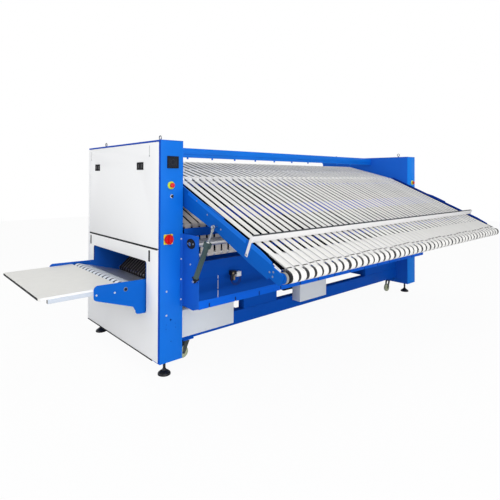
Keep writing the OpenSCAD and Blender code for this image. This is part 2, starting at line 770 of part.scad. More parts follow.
// The bed plate lies close under the belts' front ends and curls down at its upper edge
bed_t = 2;
bed_d = belt_t + 3;
bed_curl_r = 60;
bed_curl = 50;
bed_end = 31;
bed_start = 1262;
function curl(r) = [for (a = [0 : 10 : bed_curl])
  on_table(bed_start - r * sin(a), bed_d + bed_curl_r - r * cos(a))];
module bed_plate() polygon(concat(
  [on_table(table_run - bed_end, bed_d)], curl(bed_curl_r),
  [for (i = [bed_curl / 10 : -1 : 0]) curl(bed_curl_r - bed_t)[i]],
  [on_table(table_run - bed_end, bed_d + bed_t)]));
module table_cross_bars() place() color(steel) {
  for (s = bar_s) difference() {
    rod_x(rib_x1, row_l - 2 * rib_x1, on_table(s, belt_t + 2 + bar_r), bar_r);
    rod_x(rib_x1 - 1, row_l - 2 * rib_x1 + 2, on_table(s, belt_t + 2 + bar_r), bar_r - sheet);
  }
  run_x(rib_x1, row_l - 2 * rib_x1) bed_plate();
  run_x(rib_x1, row_l - 2 * rib_x1) polygon([
    on_table(deck_s0, deck_d), on_table(deck_s0, deck_d + deck_t),
    on_table(deck_s1, deck_d + deck_t), on_table(deck_s1, deck_d)]);
}

// The guide bar over the belts, on straps from the side plates
strap_t = 4;
strap_w = 24;
strap_d = 90;
guide_x0 = plate_x - strap_t;
guide_in = guide_x0 + strap_t + touch;
module guide_bar() place() color(white) {
  run_x(guide_in, row_l - 2 * guide_in) polygon([
    on_table(guide_s, -guide_lift), on_table(guide_s, -guide_lift - guide_h),
    on_table(guide_s - guide_lip, -guide_lift - guide_h),
    on_table(guide_s - guide_lip, -guide_lift - guide_h + 3),
    on_table(guide_s - 3, -guide_lift - guide_h + 3), on_table(guide_s - 3, -guide_lift)]);
  both_ends() run_x(guide_x0, strap_t) polygon([
    on_table(guide_s, -guide_lift - guide_h), on_table(guide_s - strap_w, -guide_lift - guide_h),
    on_table(guide_s - strap_w, strap_d), on_table(guide_s, strap_d)]);
}
module front_roller() place() color(steel) roller(front, front_r, roller_x0, plate_x + plate_t + 1);

// Tilt cylinders: a barrel on the bracket and a rod to the side plate
eye_r = 14;
eye_w = 16;
cap_l = 45;
cap_w = 46;
module on_cylinder() translate([cyl_x, base_pin[0], base_pin[1]])
  rotate([cyl_angle - 90, 0, 0]) children();
module barrel() place() color(grey) on_cylinder() difference() {
  union() {
    translate([-eye_w / 2, 0, 0]) rotate([0, 90, 0]) cylinder(r = eye_r, h = eye_w);
    translate([-eye_w / 2, -eye_r, 0]) cube([eye_w, 2 * eye_r, 22]);
    translate([0, 0, 20]) cylinder(r = barrel_r, h = barrel_l - 20);
    translate([-cap_w / 2 + 2, -cap_w / 2, barrel_l - cap_l]) cube([cap_w - 4, cap_w, cap_l]);
  }
  translate([-eye_w, 0, 0]) rotate([0, 90, 0]) cylinder(r = pin_r + fit_gap, h = 2 * eye_w);
  translate([0, 0, 34]) cylinder(r = bore_r, h = barrel_l - 34 - 22);
  translate([0, 0, barrel_l - 30]) cylinder(r = rod_r + fit_gap, h = 40);
}
piston_at = 190;
piston_t = 20;
module rod() place() color(steel) on_cylinder() difference() {
  union() {
    translate([0, 0, piston_at]) cylinder(r = bore_r - fit_gap, h = piston_t);
    translate([0, 0, piston_at]) cylinder(r = rod_r, h = cyl_len - piston_at - eye_r + 2);
    translate([0, 0, cyl_len - eye_r - 22]) cylinder(r = rod_r + 5, h = 14, $fn = 6);
    translate([-eye_w / 2, 0, cyl_len]) rotate([0, 90, 0]) cylinder(r = eye_r + 1, h = eye_w);
  }
  translate([-eye_w, 0, cyl_len]) rotate([0, 90, 0]) cylinder(r = pin_r + eye_play, h = 2 * eye_w);
}
module left_cylinder_barrel() barrel();
module left_cylinder_rod() rod();
module right_cylinder_barrel() translate([row_l - 2 * box_x, 0, 0]) mirror([1, 0, 0]) barrel();
module right_cylinder_rod() translate([row_l - 2 * box_x, 0, 0]) mirror([1, 0, 0]) rod();

// Pins and screws that ride with the table
plate_bolts = [[table_run - 109, 63], [table_run - 80, 44], [table_run - 74, 75],
               [435, 4], [600, 40], [790, 62]];
module head(x, c, r) rod_x(x - 4, 4, c, r);
module table_fasteners() place() color(steel) both_ends() {
  rod_x(cyl_x - 14, plate_x - cyl_x + 14, lug_pin, pin_r);
  rod_x(cyl_x - 18, 4, lug_pin, pin_r + 4);
  for (p = plate_bolts) head(plate_x, on_table(p[0], p[1]), 5.5);
  head(guide_x0, on_table(guide_s - strap_w / 2, strap_d - 12), 6);
}
lower_shaft_x = inner0 - bearing_t - 2;
module lower_roller() place() color(steel)
  roller(lower_roller, lower_r, inner0 + bracket_t + 6, lower_shaft_x);
module lower_drive_roller() place() color(steel)
  roller(lower_drive, drive_r, roller_x0, bearing_x0);

// The delivery conveyor's side plates
wing_top = delivery_z + nose_roller_r + 14;
wing_in_top = mouth_z1 - 7;
wing_in_x = slide_high[0] + 45;
module wing_shape() difference() {
  polygon(concat(
    [for (a = [180 : -15 : 90]) [-wing_l + 32, wing_top - 22] + 32 * along(a)],
    [[panel_wall + 2, wing_top], [panel_wall + 2, wing_in_top], [wing_in_x, wing_in_top],
     [wing_in_x, tail_bar[1] - 40], [140, tail_bar[1] - 40], [40, 480]],
    [[-44, 480]],
    [for (a = [250 : -20 : 170]) [-60, 508] + 26 * along(a)],
    [[-106, 548]],
    [for (a = [255 : -15 : 180]) [-wing_l + 30, wing_top - 78] + 30 * along(a)]));
  translate(nose_roller) circle(shaft_r - 3 + fit_gap);
}
nose_shaft_r = shaft_r - 3;
module delivery_plates() place() color(blue) {
  run_y(wing_y0, wing_t) wing_shape();
  run_y(wing_in1, wing_t) wing_shape();
}
tray_slope = atan2(tail_bar[1] - nose_roller[1], tail_bar[0] - nose_roller[0])
             - asin((nose_roller_r - tail_r) / norm(tail_bar - nose_roller));
tray_t = 2;
tray_from = 22;
tray_to = 475;
function on_tray(s, h) =
  nose_roller + s * along(tray_slope) + (outer_r(nose_roller_r) + 1 + h) * upright(tray_slope);
module delivery_bed() place() color(steel) {
  run_y(wing_in0, wing_w) polygon([
    on_tray(tray_from, 0), on_tray(tray_to, 0), on_tray(tray_to, tray_t), on_tray(tray_from, tray_t)]);
  for (c = [tail_bar]) rod_y(wing_in0, wing_w, c, tail_r);
  for (c = [slide_low, slide_high]) rod_y(wing_in0, wing_w, c, slide_bar_r);
  for (y = [wing_in0, wing_in1 - arm_w])
    box([-shelf_reach + 62, y, shelf_z - shelf_t - arm_h],
        [-nose_reach - nose_roller_r - 16, y + arm_w, shelf_z - shelf_t]);
}
module delivery_nose_roller() place() color(steel) {
  difference() {
    rod_y(wing_in0 + 3, wing_w - 6, nose_roller, nose_roller_r);
    rod_y(wing_in0 + 15, wing_w - 30, nose_roller, nose_roller_r - roller_wall);
  }
  rod_y(wing_y0 - 3, wing_y1 - wing_y0 + 6, nose_roller, nose_shaft_r);
}
module cross_belts(n, w, wheels) {
  pitch = (wing_w - 20) / n;
  for (i = [0 : n - 1]) run_y(wing_in0 + 10 + i * pitch + (pitch - w) / 2, w) belt(wheels);
}
module delivery_belts() place() color(grey)
  cross_belts(delivery_belts_n, delivery_belt_w, delivery_wheels);
module discharge_belts() place() color([0.25, 0.22, 0.22]) cross_belts(20, 38, slide_wheels);
shelf_x1 = -nose_reach - nose_roller_r - 10;
module receiving_shelf() place() color([0.86, 0.86, 0.83])
  translate([0, 0, shelf_z - shelf_t]) linear_extrude(shelf_t)
    rounded([-shelf_reach, wing_in0 + 4], [shelf_x1, wing_in1 - 4], shelf_corner);

// Air preparation unit with its looped hose
air_x = 780;
air_z = step_z - 32;
hose_r = 3.2;
hose_bend = 44;
hose_out = 36;
module air_unit() place() color(dark) {
  y1 = cross_y;
  box([air_x, y1 - 42, air_z + 16], [air_x + 62, y1, air_z + 56]);
  translate([air_x + 18, y1 - 22, air_z - 60]) cylinder(r = 16, h = 76);
  translate([air_x + 46, y1 - 22, air_z - 34]) cylinder(r = 10, h = 50);
  box([air_x + 62, y1 - 40, air_z - 4], [air_x + 118, y1, air_z + 40]);
  for (x = [air_x + 6, air_x + 6 + 2 * hose_bend])
    translate([x, y1 - hose_out, air_z - 52]) cylinder(r = hose_r, h = x < air_x + 60 ? 69 : 49);
  translate([air_x + 6 + hose_bend, y1 - hose_out, air_z - 52]) rotate([90, 0, 0])
    rotate([0, 0, 180]) rotate_extrude(angle = 180) translate([hose_bend, 0]) circle(hose_r);
}

// Casters under the base beams
axle_r = 7;
king_r = 6;
wheel_z = caster_lift + wheel_r;
head_z0 = beam_z - 12 - 18;
caster_x = [inner0 + caster_inset, inner1 - caster_inset];
caster_y = [beam_y + beam_d / 2, rear_beam_y + beam_d / 2];
module caster_plates() place() color(deep_blue)
  for (x = caster_x, y = caster_y) translate([x, y, 0]) {
    box([-52, -44, beam_z - 12], [52, 44, beam_z]);
    translate([0, 0, head_z0 + 1]) cylinder(r = king_r, h = 18);
  }
module fork(x, y) translate([x, y, 0]) {
  difference() {
    translate([0, 0, head_z0]) cylinder(r = 26, h = 18 - touch);
    translate([0, 0, head_z0 - 1]) cylinder(r = king_r + fit_gap, h = 20);
  }
  for (side = [-1, 1]) translate([0, side * (wheel_w / 2 + 4), 0]) run_y(-2, 4) {
    polygon([[-24, head_z0 + 4], [24, head_z0 + 4], [12 - caster_trail, wheel_z - 4],
             [-10 - caster_trail, wheel_z - 4]]);
    translate([-caster_trail, wheel_z]) circle(12);
  }
  rod_y(-wheel_w / 2 - 9, wheel_w + 18, [-caster_trail, wheel_z], axle_r);
}
module wheel(x, y) translate([x - caster_trail, y, wheel_z]) rotate([90, 0, 0]) difference() {
  rotate_extrude() polygon([
    [0, -wheel_w / 2], [20, -wheel_w / 2], [22, -wheel_w / 2 + 5], [wheel_r - 12, -wheel_w / 2 + 5],
    [wheel_r - 8, -wheel_w / 2 + 1], [wheel_r - 3, -wheel_w / 2 + 3], [wheel_r, -wheel_w / 2 + 8],
    [wheel_r, wheel_w / 2 - 8], [wheel_r - 3, wheel_w / 2 - 3], [wheel_r - 8, wheel_w / 2 - 1],
    [wheel_r - 12, wheel_w / 2 - 5], [22, wheel_w / 2 - 5], [20, wheel_w / 2], [0, wheel_w / 2]]);
  translate([0, 0, -wheel_w]) cylinder(r = axle_r + fit_gap, h = 2 * wheel_w);
}
fork_grey = [0.45, 0.50, 0.45];
module left_caster_fork() place() color(fork_grey) fork(caster_x[0], caster_y[0]);
module right_caster_fork() place() color(fork_grey) fork(caster_x[1], caster_y[0]);
module rear_caster_forks() place() color(fork_grey) for (x = caster_x) fork(x, caster_y[1]);
module front_left_wheel() place() color(cream) wheel(caster_x[0], caster_y[0]);
module front_right_wheel() place() color(cream) wheel(caster_x[1], caster_y[0]);
module rear_left_wheel() place() color(cream) wheel(caster_x[0], caster_y[1]);
module rear_right_wheel() place() color(cream) wheel(caster_x[1], caster_y[1]);

// Levelling feet
module foot(x, y) place() color(dark) translate([x, y, 0]) rotate_extrude() polygon([
  [0, 0], [foot_r, 0], [foot_r, 9], [foot_r - 4, 16], [foot_r - 16, 26], [stem_r + 9, 36],
  [stem_r + 3, 46], [stem_r, 50], [stem_r, ground_gap + 56], [0, ground_gap + 56]]);
module front_left_foot() foot(foot_x, foot_inset);
module front_right_foot() foot(row_l - foot_x, foot_inset);
module rear_left_foot() foot(foot_x, tower_d - foot_inset);
module rear_right_foot() foot(row_l - foot_x, tower_d - foot_inset);

// Controls on the towers' front faces
screen_x = control_x + 16;
screen_z = tower_z1 - screen_below;
screen_h = screen_w - 8;
stop_z = tower_z1 - stop_below;
selector_z = tower_z1 - selector_below;
switch_z = tower_z1 - switch_below;
right_control_x = row_l - 75;
collar_h = 12;
module touch_screen() place() color(dark) difference() {
  box([screen_x - screen_w / 2, -6, screen_z - screen_h / 2],
      [screen_x + screen_w / 2, 0, screen_z + screen_h / 2]);
  box([screen_x - screen_w / 2 + 9, -7, screen_z - screen_h / 2 + 9],
      [screen_x + screen_w / 2 - 9, -4.5, screen_z + screen_h / 2 - 9]);
}
stop_stem_r = 12;
module stop_collar(x) difference() {
  rod_y(-collar_h, collar_h, [x, stop_z], stop_collar_r);
  rod_y(-collar_h - 1, collar_h + 2, [x, stop_z], stop_stem_r + fit_gap);
}
switch_x = control_x - 24;
module control_backplates() place() color(yellow) {
  stop_collar(control_x);
  stop_collar(right_control_x);
  difference() {
    box([switch_x - switch_w / 2, -8, switch_z - switch_w / 2],
        [switch_x + switch_w / 2, 0, switch_z + switch_w / 2]);
    rod_y(-9, 10, [switch_x, switch_z], 8 + fit_gap);
  }
}
module stop_button(x) place() color(red) {
  rod_y(-collar_h - stop_travel - touch - 15, 15, [x, stop_z], stop_r);
  rod_y(-collar_h - stop_travel - touch - 1, stop_travel + 8, [x, stop_z], stop_stem_r);
}
module left_stop_button() stop_button(control_x);
module right_stop_button() stop_button(right_control_x);
selector_x = control_x + 8;
module selector_knob() place() color(dark) {
  rod_y(-10, 10, [selector_x, selector_z], 9);
  box([selector_x - 4, -20, selector_z - 12], [selector_x + 4, -9, selector_z + 12]);
}
module main_switch_knob() place() color(red) {
  rod_y(-22, 13.7, [switch_x, switch_z], switch_r);
  rod_y(-9, 8, [switch_x, switch_z], 8);
  box([switch_x - 8, -38, switch_z - switch_r + 2], [switch_x + 8, -21, switch_z + switch_r - 2]);
}

// Screws, pins, lifting eyes and the selector's ring
eye_y = [190, tower_d - 190];
module lifting_eye() {
  cylinder(r = 15, h = 5);
  cylinder(r = 7, h = 14);
  translate([0, 0, 32]) rotate([0, 90, 0]) rotate_extrude() translate([17, 0]) circle(4.5);
}
flange_bolt_z = [for (i = [0 : 3]) bracket_z0 + 54 + i * (bracket_z1 - bracket_z0 - 94) / 3];
module frame_fasteners() place() color(steel) {
  both_ends() {
    for (z = flange_bolt_z) rod_y(-8, 4, [inner0 - bracket_flange / 2 - 5, z], 5.5);
    rod_x(cyl_x - 14, inner0 + bracket_t - cyl_x + 14, base_pin, pin_r);
    rod_x(cyl_x - 18, 4, base_pin, pin_r + 4);
    for (z = [688, 501]) rod_y(-3, 3, [58, z], 6);
    for (y = eye_y) translate([tower_t / 2, y, tower_z1]) lifting_eye();
    rod_x(inner0 - 4, 4, [-112, 899], 5);
  }
  difference() {
    rod_y(-4, 4, [selector_x, selector_z], 15);
    rod_y(-5, 6, [selector_x, selector_z], 9 + fit_gap);
  }
  for (p = [[-wing_l + 21, delivery_z - 8], [-261, delivery_z - 12]])
    rod_y(wing_y0 - 4, 4, p, 6);
}

left_tower_shell();
right_tower_shell();
left_lower_cover();
left_side_door();
side_and_rear_covers();
front_door_latch();
rear_door_latch();
top_beam();
base_frame();
lower_rail();
lower_cross_panels();
tilt_brackets();
flange_bearings();
electrical_boxes();
drive_motors();
motor_pulley();
drive_belt();
kink_roller();
top_roller();
belt_support_bars();
upper_belts();
table_belts();
lower_belts();
table_side_plates();
table_cross_bars();
guide_bar();
front_roller();
left_cylinder_barrel();
left_cylinder_rod();
right_cylinder_barrel();
right_cylinder_rod();
table_fasteners();
lower_roller();
lower_drive_roller();
delivery_plates();
delivery_bed();
delivery_nose_roller();
delivery_belts();
receiving_shelf();
discharge_belts();
air_unit();
caster_plates();
left_caster_fork();
right_caster_fork();
rear_caster_forks();
front_left_wheel();
front_right_wheel();
rear_left_wheel();
rear_right_wheel();
front_left_foot();
front_right_foot();
rear_left_foot();
rear_right_foot();
touch_screen();
control_backplates();
left_stop_button();
right_stop_button();
selector_knob();
main_switch_knob();
frame_fasteners();
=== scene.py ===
# Looks of a laundry folding machine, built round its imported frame. Lengths are metres. Shapes are
# drawn in the machine's own coordinates: X from the control tower's outer face along the machine,
# Y from the towers' front to the back, Z up from the floor.
import json
import math

import bmesh
import bpy
from mathutils import Matrix, Vector

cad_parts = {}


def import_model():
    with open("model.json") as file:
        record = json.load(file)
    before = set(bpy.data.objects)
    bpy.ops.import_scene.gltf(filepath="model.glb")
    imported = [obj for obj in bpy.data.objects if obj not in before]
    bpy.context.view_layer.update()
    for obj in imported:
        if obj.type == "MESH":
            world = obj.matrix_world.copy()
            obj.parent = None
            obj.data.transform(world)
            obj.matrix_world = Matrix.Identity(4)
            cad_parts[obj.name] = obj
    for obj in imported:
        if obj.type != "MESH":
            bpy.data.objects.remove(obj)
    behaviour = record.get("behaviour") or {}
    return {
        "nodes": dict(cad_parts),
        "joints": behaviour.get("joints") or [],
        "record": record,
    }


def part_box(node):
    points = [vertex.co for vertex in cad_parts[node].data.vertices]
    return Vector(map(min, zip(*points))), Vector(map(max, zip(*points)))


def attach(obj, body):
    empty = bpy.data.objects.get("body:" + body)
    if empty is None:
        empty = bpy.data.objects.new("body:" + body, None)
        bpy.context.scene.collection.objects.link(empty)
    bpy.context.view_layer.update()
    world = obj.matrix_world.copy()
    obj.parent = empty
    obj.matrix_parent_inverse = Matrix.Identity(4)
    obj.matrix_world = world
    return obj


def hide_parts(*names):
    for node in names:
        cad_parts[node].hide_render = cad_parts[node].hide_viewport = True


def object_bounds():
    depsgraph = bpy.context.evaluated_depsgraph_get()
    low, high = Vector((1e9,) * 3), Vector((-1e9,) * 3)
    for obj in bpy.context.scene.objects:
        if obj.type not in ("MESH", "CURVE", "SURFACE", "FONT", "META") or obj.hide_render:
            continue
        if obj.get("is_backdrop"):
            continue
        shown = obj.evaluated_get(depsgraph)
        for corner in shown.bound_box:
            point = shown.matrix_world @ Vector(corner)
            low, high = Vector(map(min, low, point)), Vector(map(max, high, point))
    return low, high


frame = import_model()
cad_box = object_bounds()

# Places taken from the frame
LEFT_LO, LEFT_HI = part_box("left_tower_shell")
ORIGIN = Vector((LEFT_LO.x, LEFT_LO.y, 0))
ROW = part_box("right_tower_shell")[1].x - LEFT_LO.x
TOWER_T = LEFT_HI.x - LEFT_LO.x
TOWER_D = LEFT_HI.y - LEFT_LO.y
TOWER_Z0 = LEFT_LO.z
TOWER_TOP = LEFT_HI.z
FAR_X = ROW - TOWER_T
PIVOT = {j["name"]: Vector(j["pos_m"]) - ORIGIN for j in frame["joints"] if "pos_m" in j}


def span(node):
    """Lowest and highest corner of a CAD node in the machine's coordinates."""
    lo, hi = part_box(node)
    return lo - ORIGIN, hi - ORIGIN


def yz(joint):
    """Centre of a roller or pin along X, as Y and Z."""
    return PIVOT[joint].yz


def mirrored(a, b):
    """A range of X near the control tower and its mirror image near the far one."""
    return (a, b), (ROW - b, ROW - a)


def both_sides(x, axes=("-x", "x")):
    """A place near the control tower and its mirror image, each with its axis."""
    return zip((x, ROW - x), axes)


# Materials: each maker adds one to MATERIALS under its name
MATERIALS = {}


def feed(tree, node, inputs):
    """Gives a node's inputs their values, or links them where the value is another output."""
    for socket, value in inputs.items():
        if isinstance(value, bpy.types.NodeSocket):
            tree.links.new(value, node.inputs[socket])
        else:
            node.inputs[socket].default_value = value


def add(tree, kind, inputs=None, **settings):
    """Adds a shader node and gives its outputs."""
    node = tree.nodes.new("ShaderNode" + kind)
    for name, value in settings.items():
        setattr(node, name, value)
    feed(tree, node, inputs or {})
    return node.outputs


def principled(name, roughness, metallic=0.0, specular=0.5):
    mat = MATERIALS[name] = bpy.data.materials.new(name)
    mat.use_nodes = True
    tree = mat.node_tree
    shader = tree.nodes["Principled BSDF"]
    feed(tree, shader, {"Roughness": roughness, "Metallic": metallic,
                        "Specular IOR Level": specular})
    return tree, shader


def noise(tree, scale, stretch=(1, 1, 1), detail=3.0):
    """Noise of that many waves per metre, stretched along an axis where its factor is small."""
    place = add(tree, "TexCoord")["Object"]
    spot = add(tree, "Mapping", {"Vector": place, "Scale": stretch})["Vector"]
    return add(tree, "TexNoise", {"Vector": spot, "Scale": scale, "Detail": detail})["Fac"]


def ramp(tree, value, low, high, start=0.3, end=0.7):
    """Turns a value into a colour or a grey between low and high."""
    node = tree.nodes.new("ShaderNodeValToRGB")
    for stop, place, colour in zip(node.color_ramp.elements, (start, end), (low, high)):
        stop.position = place
        stop.color = (*colour, 1) if hasattr(colour, "__len__") else (colour, colour, colour, 1)
    tree.links.new(value, node.inputs["Fac"])
    return node.outputs["Color"]


def drifting(tree, value, colour, down, up):
    """The colour, darker and lighter by those shares as the value goes from low to high."""
    return ramp(tree, value, *(tuple(min(1.0, c * factor) for c in colour)
                               for factor in (1 - down, 1 + up)))


def finish(tree, shader, tone, gloss, height, strength, distance=0.0004):
    """Links a surface's colour, its roughness and the relief of its bump."""
    relief = add(tree, "Bump", {"Strength": strength, "Distance": distance, "Height": height})
    feed(tree, shader, {"Base Color": tone, "Roughness": gloss, "Normal": relief["Normal"]})


def orange_peel(tree):
    return noise(tree, 420.0, detail=2.0)


def paint(name, colour, rough=(0.36, 0.50), vary=0.05, specular=0.04):
    """Powder coat: faint orange peel, cloudy gloss and a slight drift of the colour."""
    tree, shader = principled(name, rough[0], specular=specular)
    finish(tree, shader, drifting(tree, noise(tree, 2.3, detail=4.0), colour, vary, vary),
           ramp(tree, noise(tree, 9.0), *rough), orange_peel(tree), 0.12)


def metal(name, colour, rough=(0.22, 0.38), grain=(0.03, 1, 1)):
    """Turned or brushed metal: fine lines that run along the axis with the small factor."""
    tree, shader = principled(name, rough[0], metallic=1.0)
    lines = noise(tree, 260.0, stretch=grain, detail=5.0)
    finish(tree, shader, drifting(tree, lines, colour, 0.08, 0.08),
           ramp(tree, noise(tree, 35.0, stretch=grain), *rough), lines, 0.10, 0.0003)


def plastic(name, colour, rough=(0.35, 0.5), vary=0.05, specular=0.3):
    """Moulded plastic with a fine spark texture."""
    tree, shader = principled(name, rough[0], specular=specular)
    finish(tree, shader, drifting(tree, noise(tree, 14.0), colour, vary, vary),
           ramp(tree, noise(tree, 60.0), *rough), noise(tree, 900.0, detail=1.0), 0.10, 0.0003)


def fading(name, near, far, x0, x1=2.1):
    """Matt sheet whose colour drifts from near to far between two places along the machine. The
    drift to the lighter far colour is painted reflection.
    """
    tree, shader = principled(name, 0.6, specular=0.0)
    x = add(tree, "SeparateXYZ", {"Vector": add(tree, "TexCoord")["Object"]})["X"]
    reach = add(tree, "MapRange", {"Value": x, "From Min": x0, "From Max": x1})["Result"]
    finish(tree, shader, ramp(tree, reach, near, far, 0.0, 1.0),
           ramp(tree, noise(tree, 9.0), 0.5, 0.7), orange_peel(tree), 0.1)


THREADS = 700.0


def weave(name, colour, along="Y", rough=(0.72, 0.9)):
    """Belt fabric: crossing threads and lengthwise streaks."""
    tree, shader = principled(name, rough[0], specular=0.2)
    streaks = noise(tree, 60.0, {"X": (0.02, 1, 1), "Y": (1, 0.03, 0.03)}[along], 4.0)
    place = add(tree, "TexCoord")["Object"]
    warp, weft = (add(tree, "TexWave", {"Scale": THREADS / 6.283, "Vector": place},
                      wave_type="BANDS", bands_direction=way)["Fac"] for way in ("X", "Y"))
    threads = add(tree, "Math", {0: warp, 1: weft}, operation="MULTIPLY")["Value"]
    finish(tree, shader, drifting(tree, streaks, colour, 0.08, 0.04),
           ramp(tree, noise(tree, 25.0), *rough), threads, 0.25)


# The record's material slots
paint("blue_paint", (0.004, 0.162, 0.70), specular=0.12)
paint("deep_blue_paint", (0.003, 0.085, 0.48))
paint("white_paint", (0.94, 0.94, 0.94), vary=0.006, specular=0.1)
paint("grey_paint", (0.76, 0.79, 0.81), vary=0.02)
paint("cylinder_grey", (0.050, 0.085, 0.085), (0.3, 0.45), vary=0.08, specular=0.2)
weave("belt_cream", (0.83, 0.82, 0.79))
weave("belt_taupe", (0.66, 0.61, 0.56))
plastic("belt_dark", (0.022, 0.018, 0.018), (0.55, 0.75), vary=0.2, specular=0.15)
weave("belt_delivery", (0.78, 0.82, 0.88), along="X")
metal("steel", (0.66, 0.66, 0.67))
paint("black_metal", (0.018, 0.02, 0.026), (0.3, 0.45), vary=0.15)
plastic("black_plastic", (0.010, 0.010, 0.012), (0.3, 0.45))
plastic("screen", (0.006, 0.009, 0.018), (0.28, 0.36), specular=0.15)
plastic("yellow_plastic", (0.80, 0.74, 0.04))
plastic("red_plastic", (0.68, 0.006, 0.008), (0.25, 0.35))
plastic("shelf_white", (0.79, 0.78, 0.74), (0.35, 0.45), vary=0.012, specular=0.15)
paint("caster_grey", (0.05, 0.06, 0.055), (0.35, 0.5), vary=0.12, specular=0.3)
plastic("wheel_cream", (0.46, 0.49, 0.31), (0.4, 0.55), vary=0.1)

# Shades of them for single pieces and faces. The side, plate, edge and inner blues and the navy are
# darker copies of the blue paint, painted shade; the far blue is a lighter copy, painted light.
paint("side_shade_blue", (0.010, 0.112, 0.57))
paint("plate_shade_blue", (0.003, 0.106, 0.49))
paint("wing_blue", (0.004, 0.124, 0.57))
paint("far_lit_blue", (0.008, 0.215, 0.80))
paint("edge_shade_blue", (0.002, 0.077, 0.53))
paint("rail_blue", (0.004, 0.130, 0.74))
paint("inner_shade_blue", (0.002, 0.040, 0.42))
# Painted shade and painted reflection: sheets seen through the belt gaps, near-black and blue close
# by, lightening toward grey farther along the machine.
fading("deck_blue_and_sheen", (0.001, 0.050, 0.50), (0.30, 0.34, 0.62), -0.6)
fading("deck_black", (0.001, 0.002, 0.006), (0.36, 0.36, 0.42), -0.5)
paint("navy", (0.002, 0.030, 0.26), (0.5, 0.7), vary=0.2)
paint("guide_white", (0.80, 0.79, 0.79), vary=0.01)
paint("shadow_black", (0.001, 0.002, 0.005), (0.5, 0.7), vary=0.5, specular=0.0)
paint("bolt_grey", (0.20, 0.25, 0.34), specular=0.25)
paint("bolt_pale", (0.52, 0.58, 0.64), specular=0.3)
paint("hose_blue", (0.020, 0.018, 0.085), specular=0.25)
plastic("rubber", (0.012, 0.013, 0.016), (0.6, 0.8), specular=0.1)
plastic("stop_green", (0.62, 0.74, 0.04))
metal("tray_grey", (0.60, 0.63, 0.68), (0.35, 0.5), grain=(1, 0.05, 1))
paint("arm_white", (0.62, 0.67, 0.74), vary=0.03)
metal("chrome", (0.80, 0.81, 0.82), (0.10, 0.2))
metal("rod_grey", (0.42, 0.45, 0.47), (0.2, 0.32))
# Painted reflection: the front roller's chrome is darkened to stand in for the dark surroundings it
# reflects.
metal("dark_reflection_roller", (0.065, 0.065, 0.07), (0.08, 0.14))
metal("nose_navy", (0.010, 0.018, 0.055), (0.3, 0.45))
metal("dark_steel", (0.20, 0.21, 0.22), (0.3, 0.45))
paint("lip_grey", (0.045, 0.05, 0.055), vary=0.1)
paint("joint_grey", (0.07, 0.068, 0.065), vary=0.1)
paint("liner_grey", (0.30, 0.29, 0.28), vary=0.1)
plastic("mark_grey", (0.30, 0.30, 0.31), (0.5, 0.7))
metal("brass", (0.42, 0.33, 0.20), (0.3, 0.45))

# Mesh helpers: each adds a closed form to a bmesh
AXES = {"x": Vector((1, 0, 0)), "y": Vector((0, 1, 0)), "z": Vector((0, 0, 1)),
        "-x": Vector((-1, 0, 0)), "-y": Vector((0, -1, 0))}
SPOT = {"x": lambda p, t: (t, p[0], p[1]), "y": lambda p, t: (p[0], t, p[1]),
        "z": lambda p, t: (p[0], p[1], t)}


def caps(bm, rings):
    """Closes the two ends of a row of rings, where they aren't points."""
    return [bm.faces.new(ring) for ring in (rings[0][::-1], rings[-1]) if len(ring) > 2]


def walls(bm, rings, closed=False):
    """Faces from each ring to the next, and from the last to the first where closed."""
    faces = []
    steps = max(len(ring) for ring in rings)
    for low, high in zip(rings, rings[1:] + (rings[:1] if closed else [])):
        for i in range(steps):
            j = i + 1
            corners = (low[i % len(low)], low[j % len(low)], high[j % len(high)],
                       high[i % len(high)])
            unique = list(dict.fromkeys(corners))
            if len(unique) > 2:
                faces.append(bm.faces.new(unique))
    return faces


def rectangle(a0, a1, b0, b1):
    return [(a0, b0), (a1, b0), (a1, b1), (a0, b1)]


def prism(bm, outline, axis, a, b):
    """An outline, given as the two other coordinates, drawn out along X, Y or Z from a to b."""
    rings = [[bm.verts.new(SPOT[axis](p, t)) for p in outline] for t in (a, b)]
    return caps(bm, rings) + walls(bm, rings)


def soften(bm, faces, bevel):
    edges = {e for f in faces for e in f.edges if e.calc_face_angle(0) > 0.6}
    bmesh.ops.bevel(bm, geom=list(edges), offset=bevel, segments=2, profile=0.5, affect="EDGES")


def soft_prism(bm, outline, axis, a, b, bevel):
    """A prism with all its sharp edges rounded."""
    soften(bm, prism(bm, outline, axis, a, b), bevel)


def block(bm, lo, hi, bevel=0.0):
    """A box, with its edges rounded where bevel is given."""
    faces = prism(bm, rectangle(lo[0], hi[0], lo[1], hi[1]), "z", lo[2], hi[2])
    if bevel:
        soften(bm, faces, bevel)


def rounded(lo, hi, radius, steps=5):
    """Outline of a rectangle with round corners, counterclockwise."""
    corners = ((hi[0], hi[1], 0), (lo[0], hi[1], 1), (lo[0], lo[1], 2), (hi[0], lo[1], 3))
    points = []
    for x, y, quarter in corners:
        cx = x - radius if quarter in (0, 3) else x + radius
        cy = y - radius if quarter in (0, 1) else y + radius
        for i in range(steps + 1):
            turn = math.pi / 2 * (quarter + i / steps)
            points.append((cx + radius * math.cos(turn), cy + radius * math.sin(turn)))
    return points


def slab(bm, lo, hi, radius, axis, a, b, bevel):
    """A plate with round corners and softened edges, drawn out along an axis from a to b."""
    soft_prism(bm, rounded(lo, hi, radius), axis, a, b, bevel)


def cup(bm, lo, hi, radius, rim, axis, face, foot, well):
    """A rounded rim from its foot to its face, with a hollow inside it that goes down to well."""
    outer = rounded(lo, hi, radius)
    inner = rounded((lo[0] + rim, lo[1] + rim), (hi[0] - rim, hi[1] - rim),
                    max(radius - rim, 0.0004))
    levels = ((outer, foot), (outer, face), (inner, face), (inner, well))
    rings = [[bm.verts.new(SPOT[axis](p, t)) for p in line] for line, t in levels]
    walls(bm, rings)
    caps(bm, rings)


def turns(steps):
    return [2 * math.pi * i / steps for i in range(steps)]


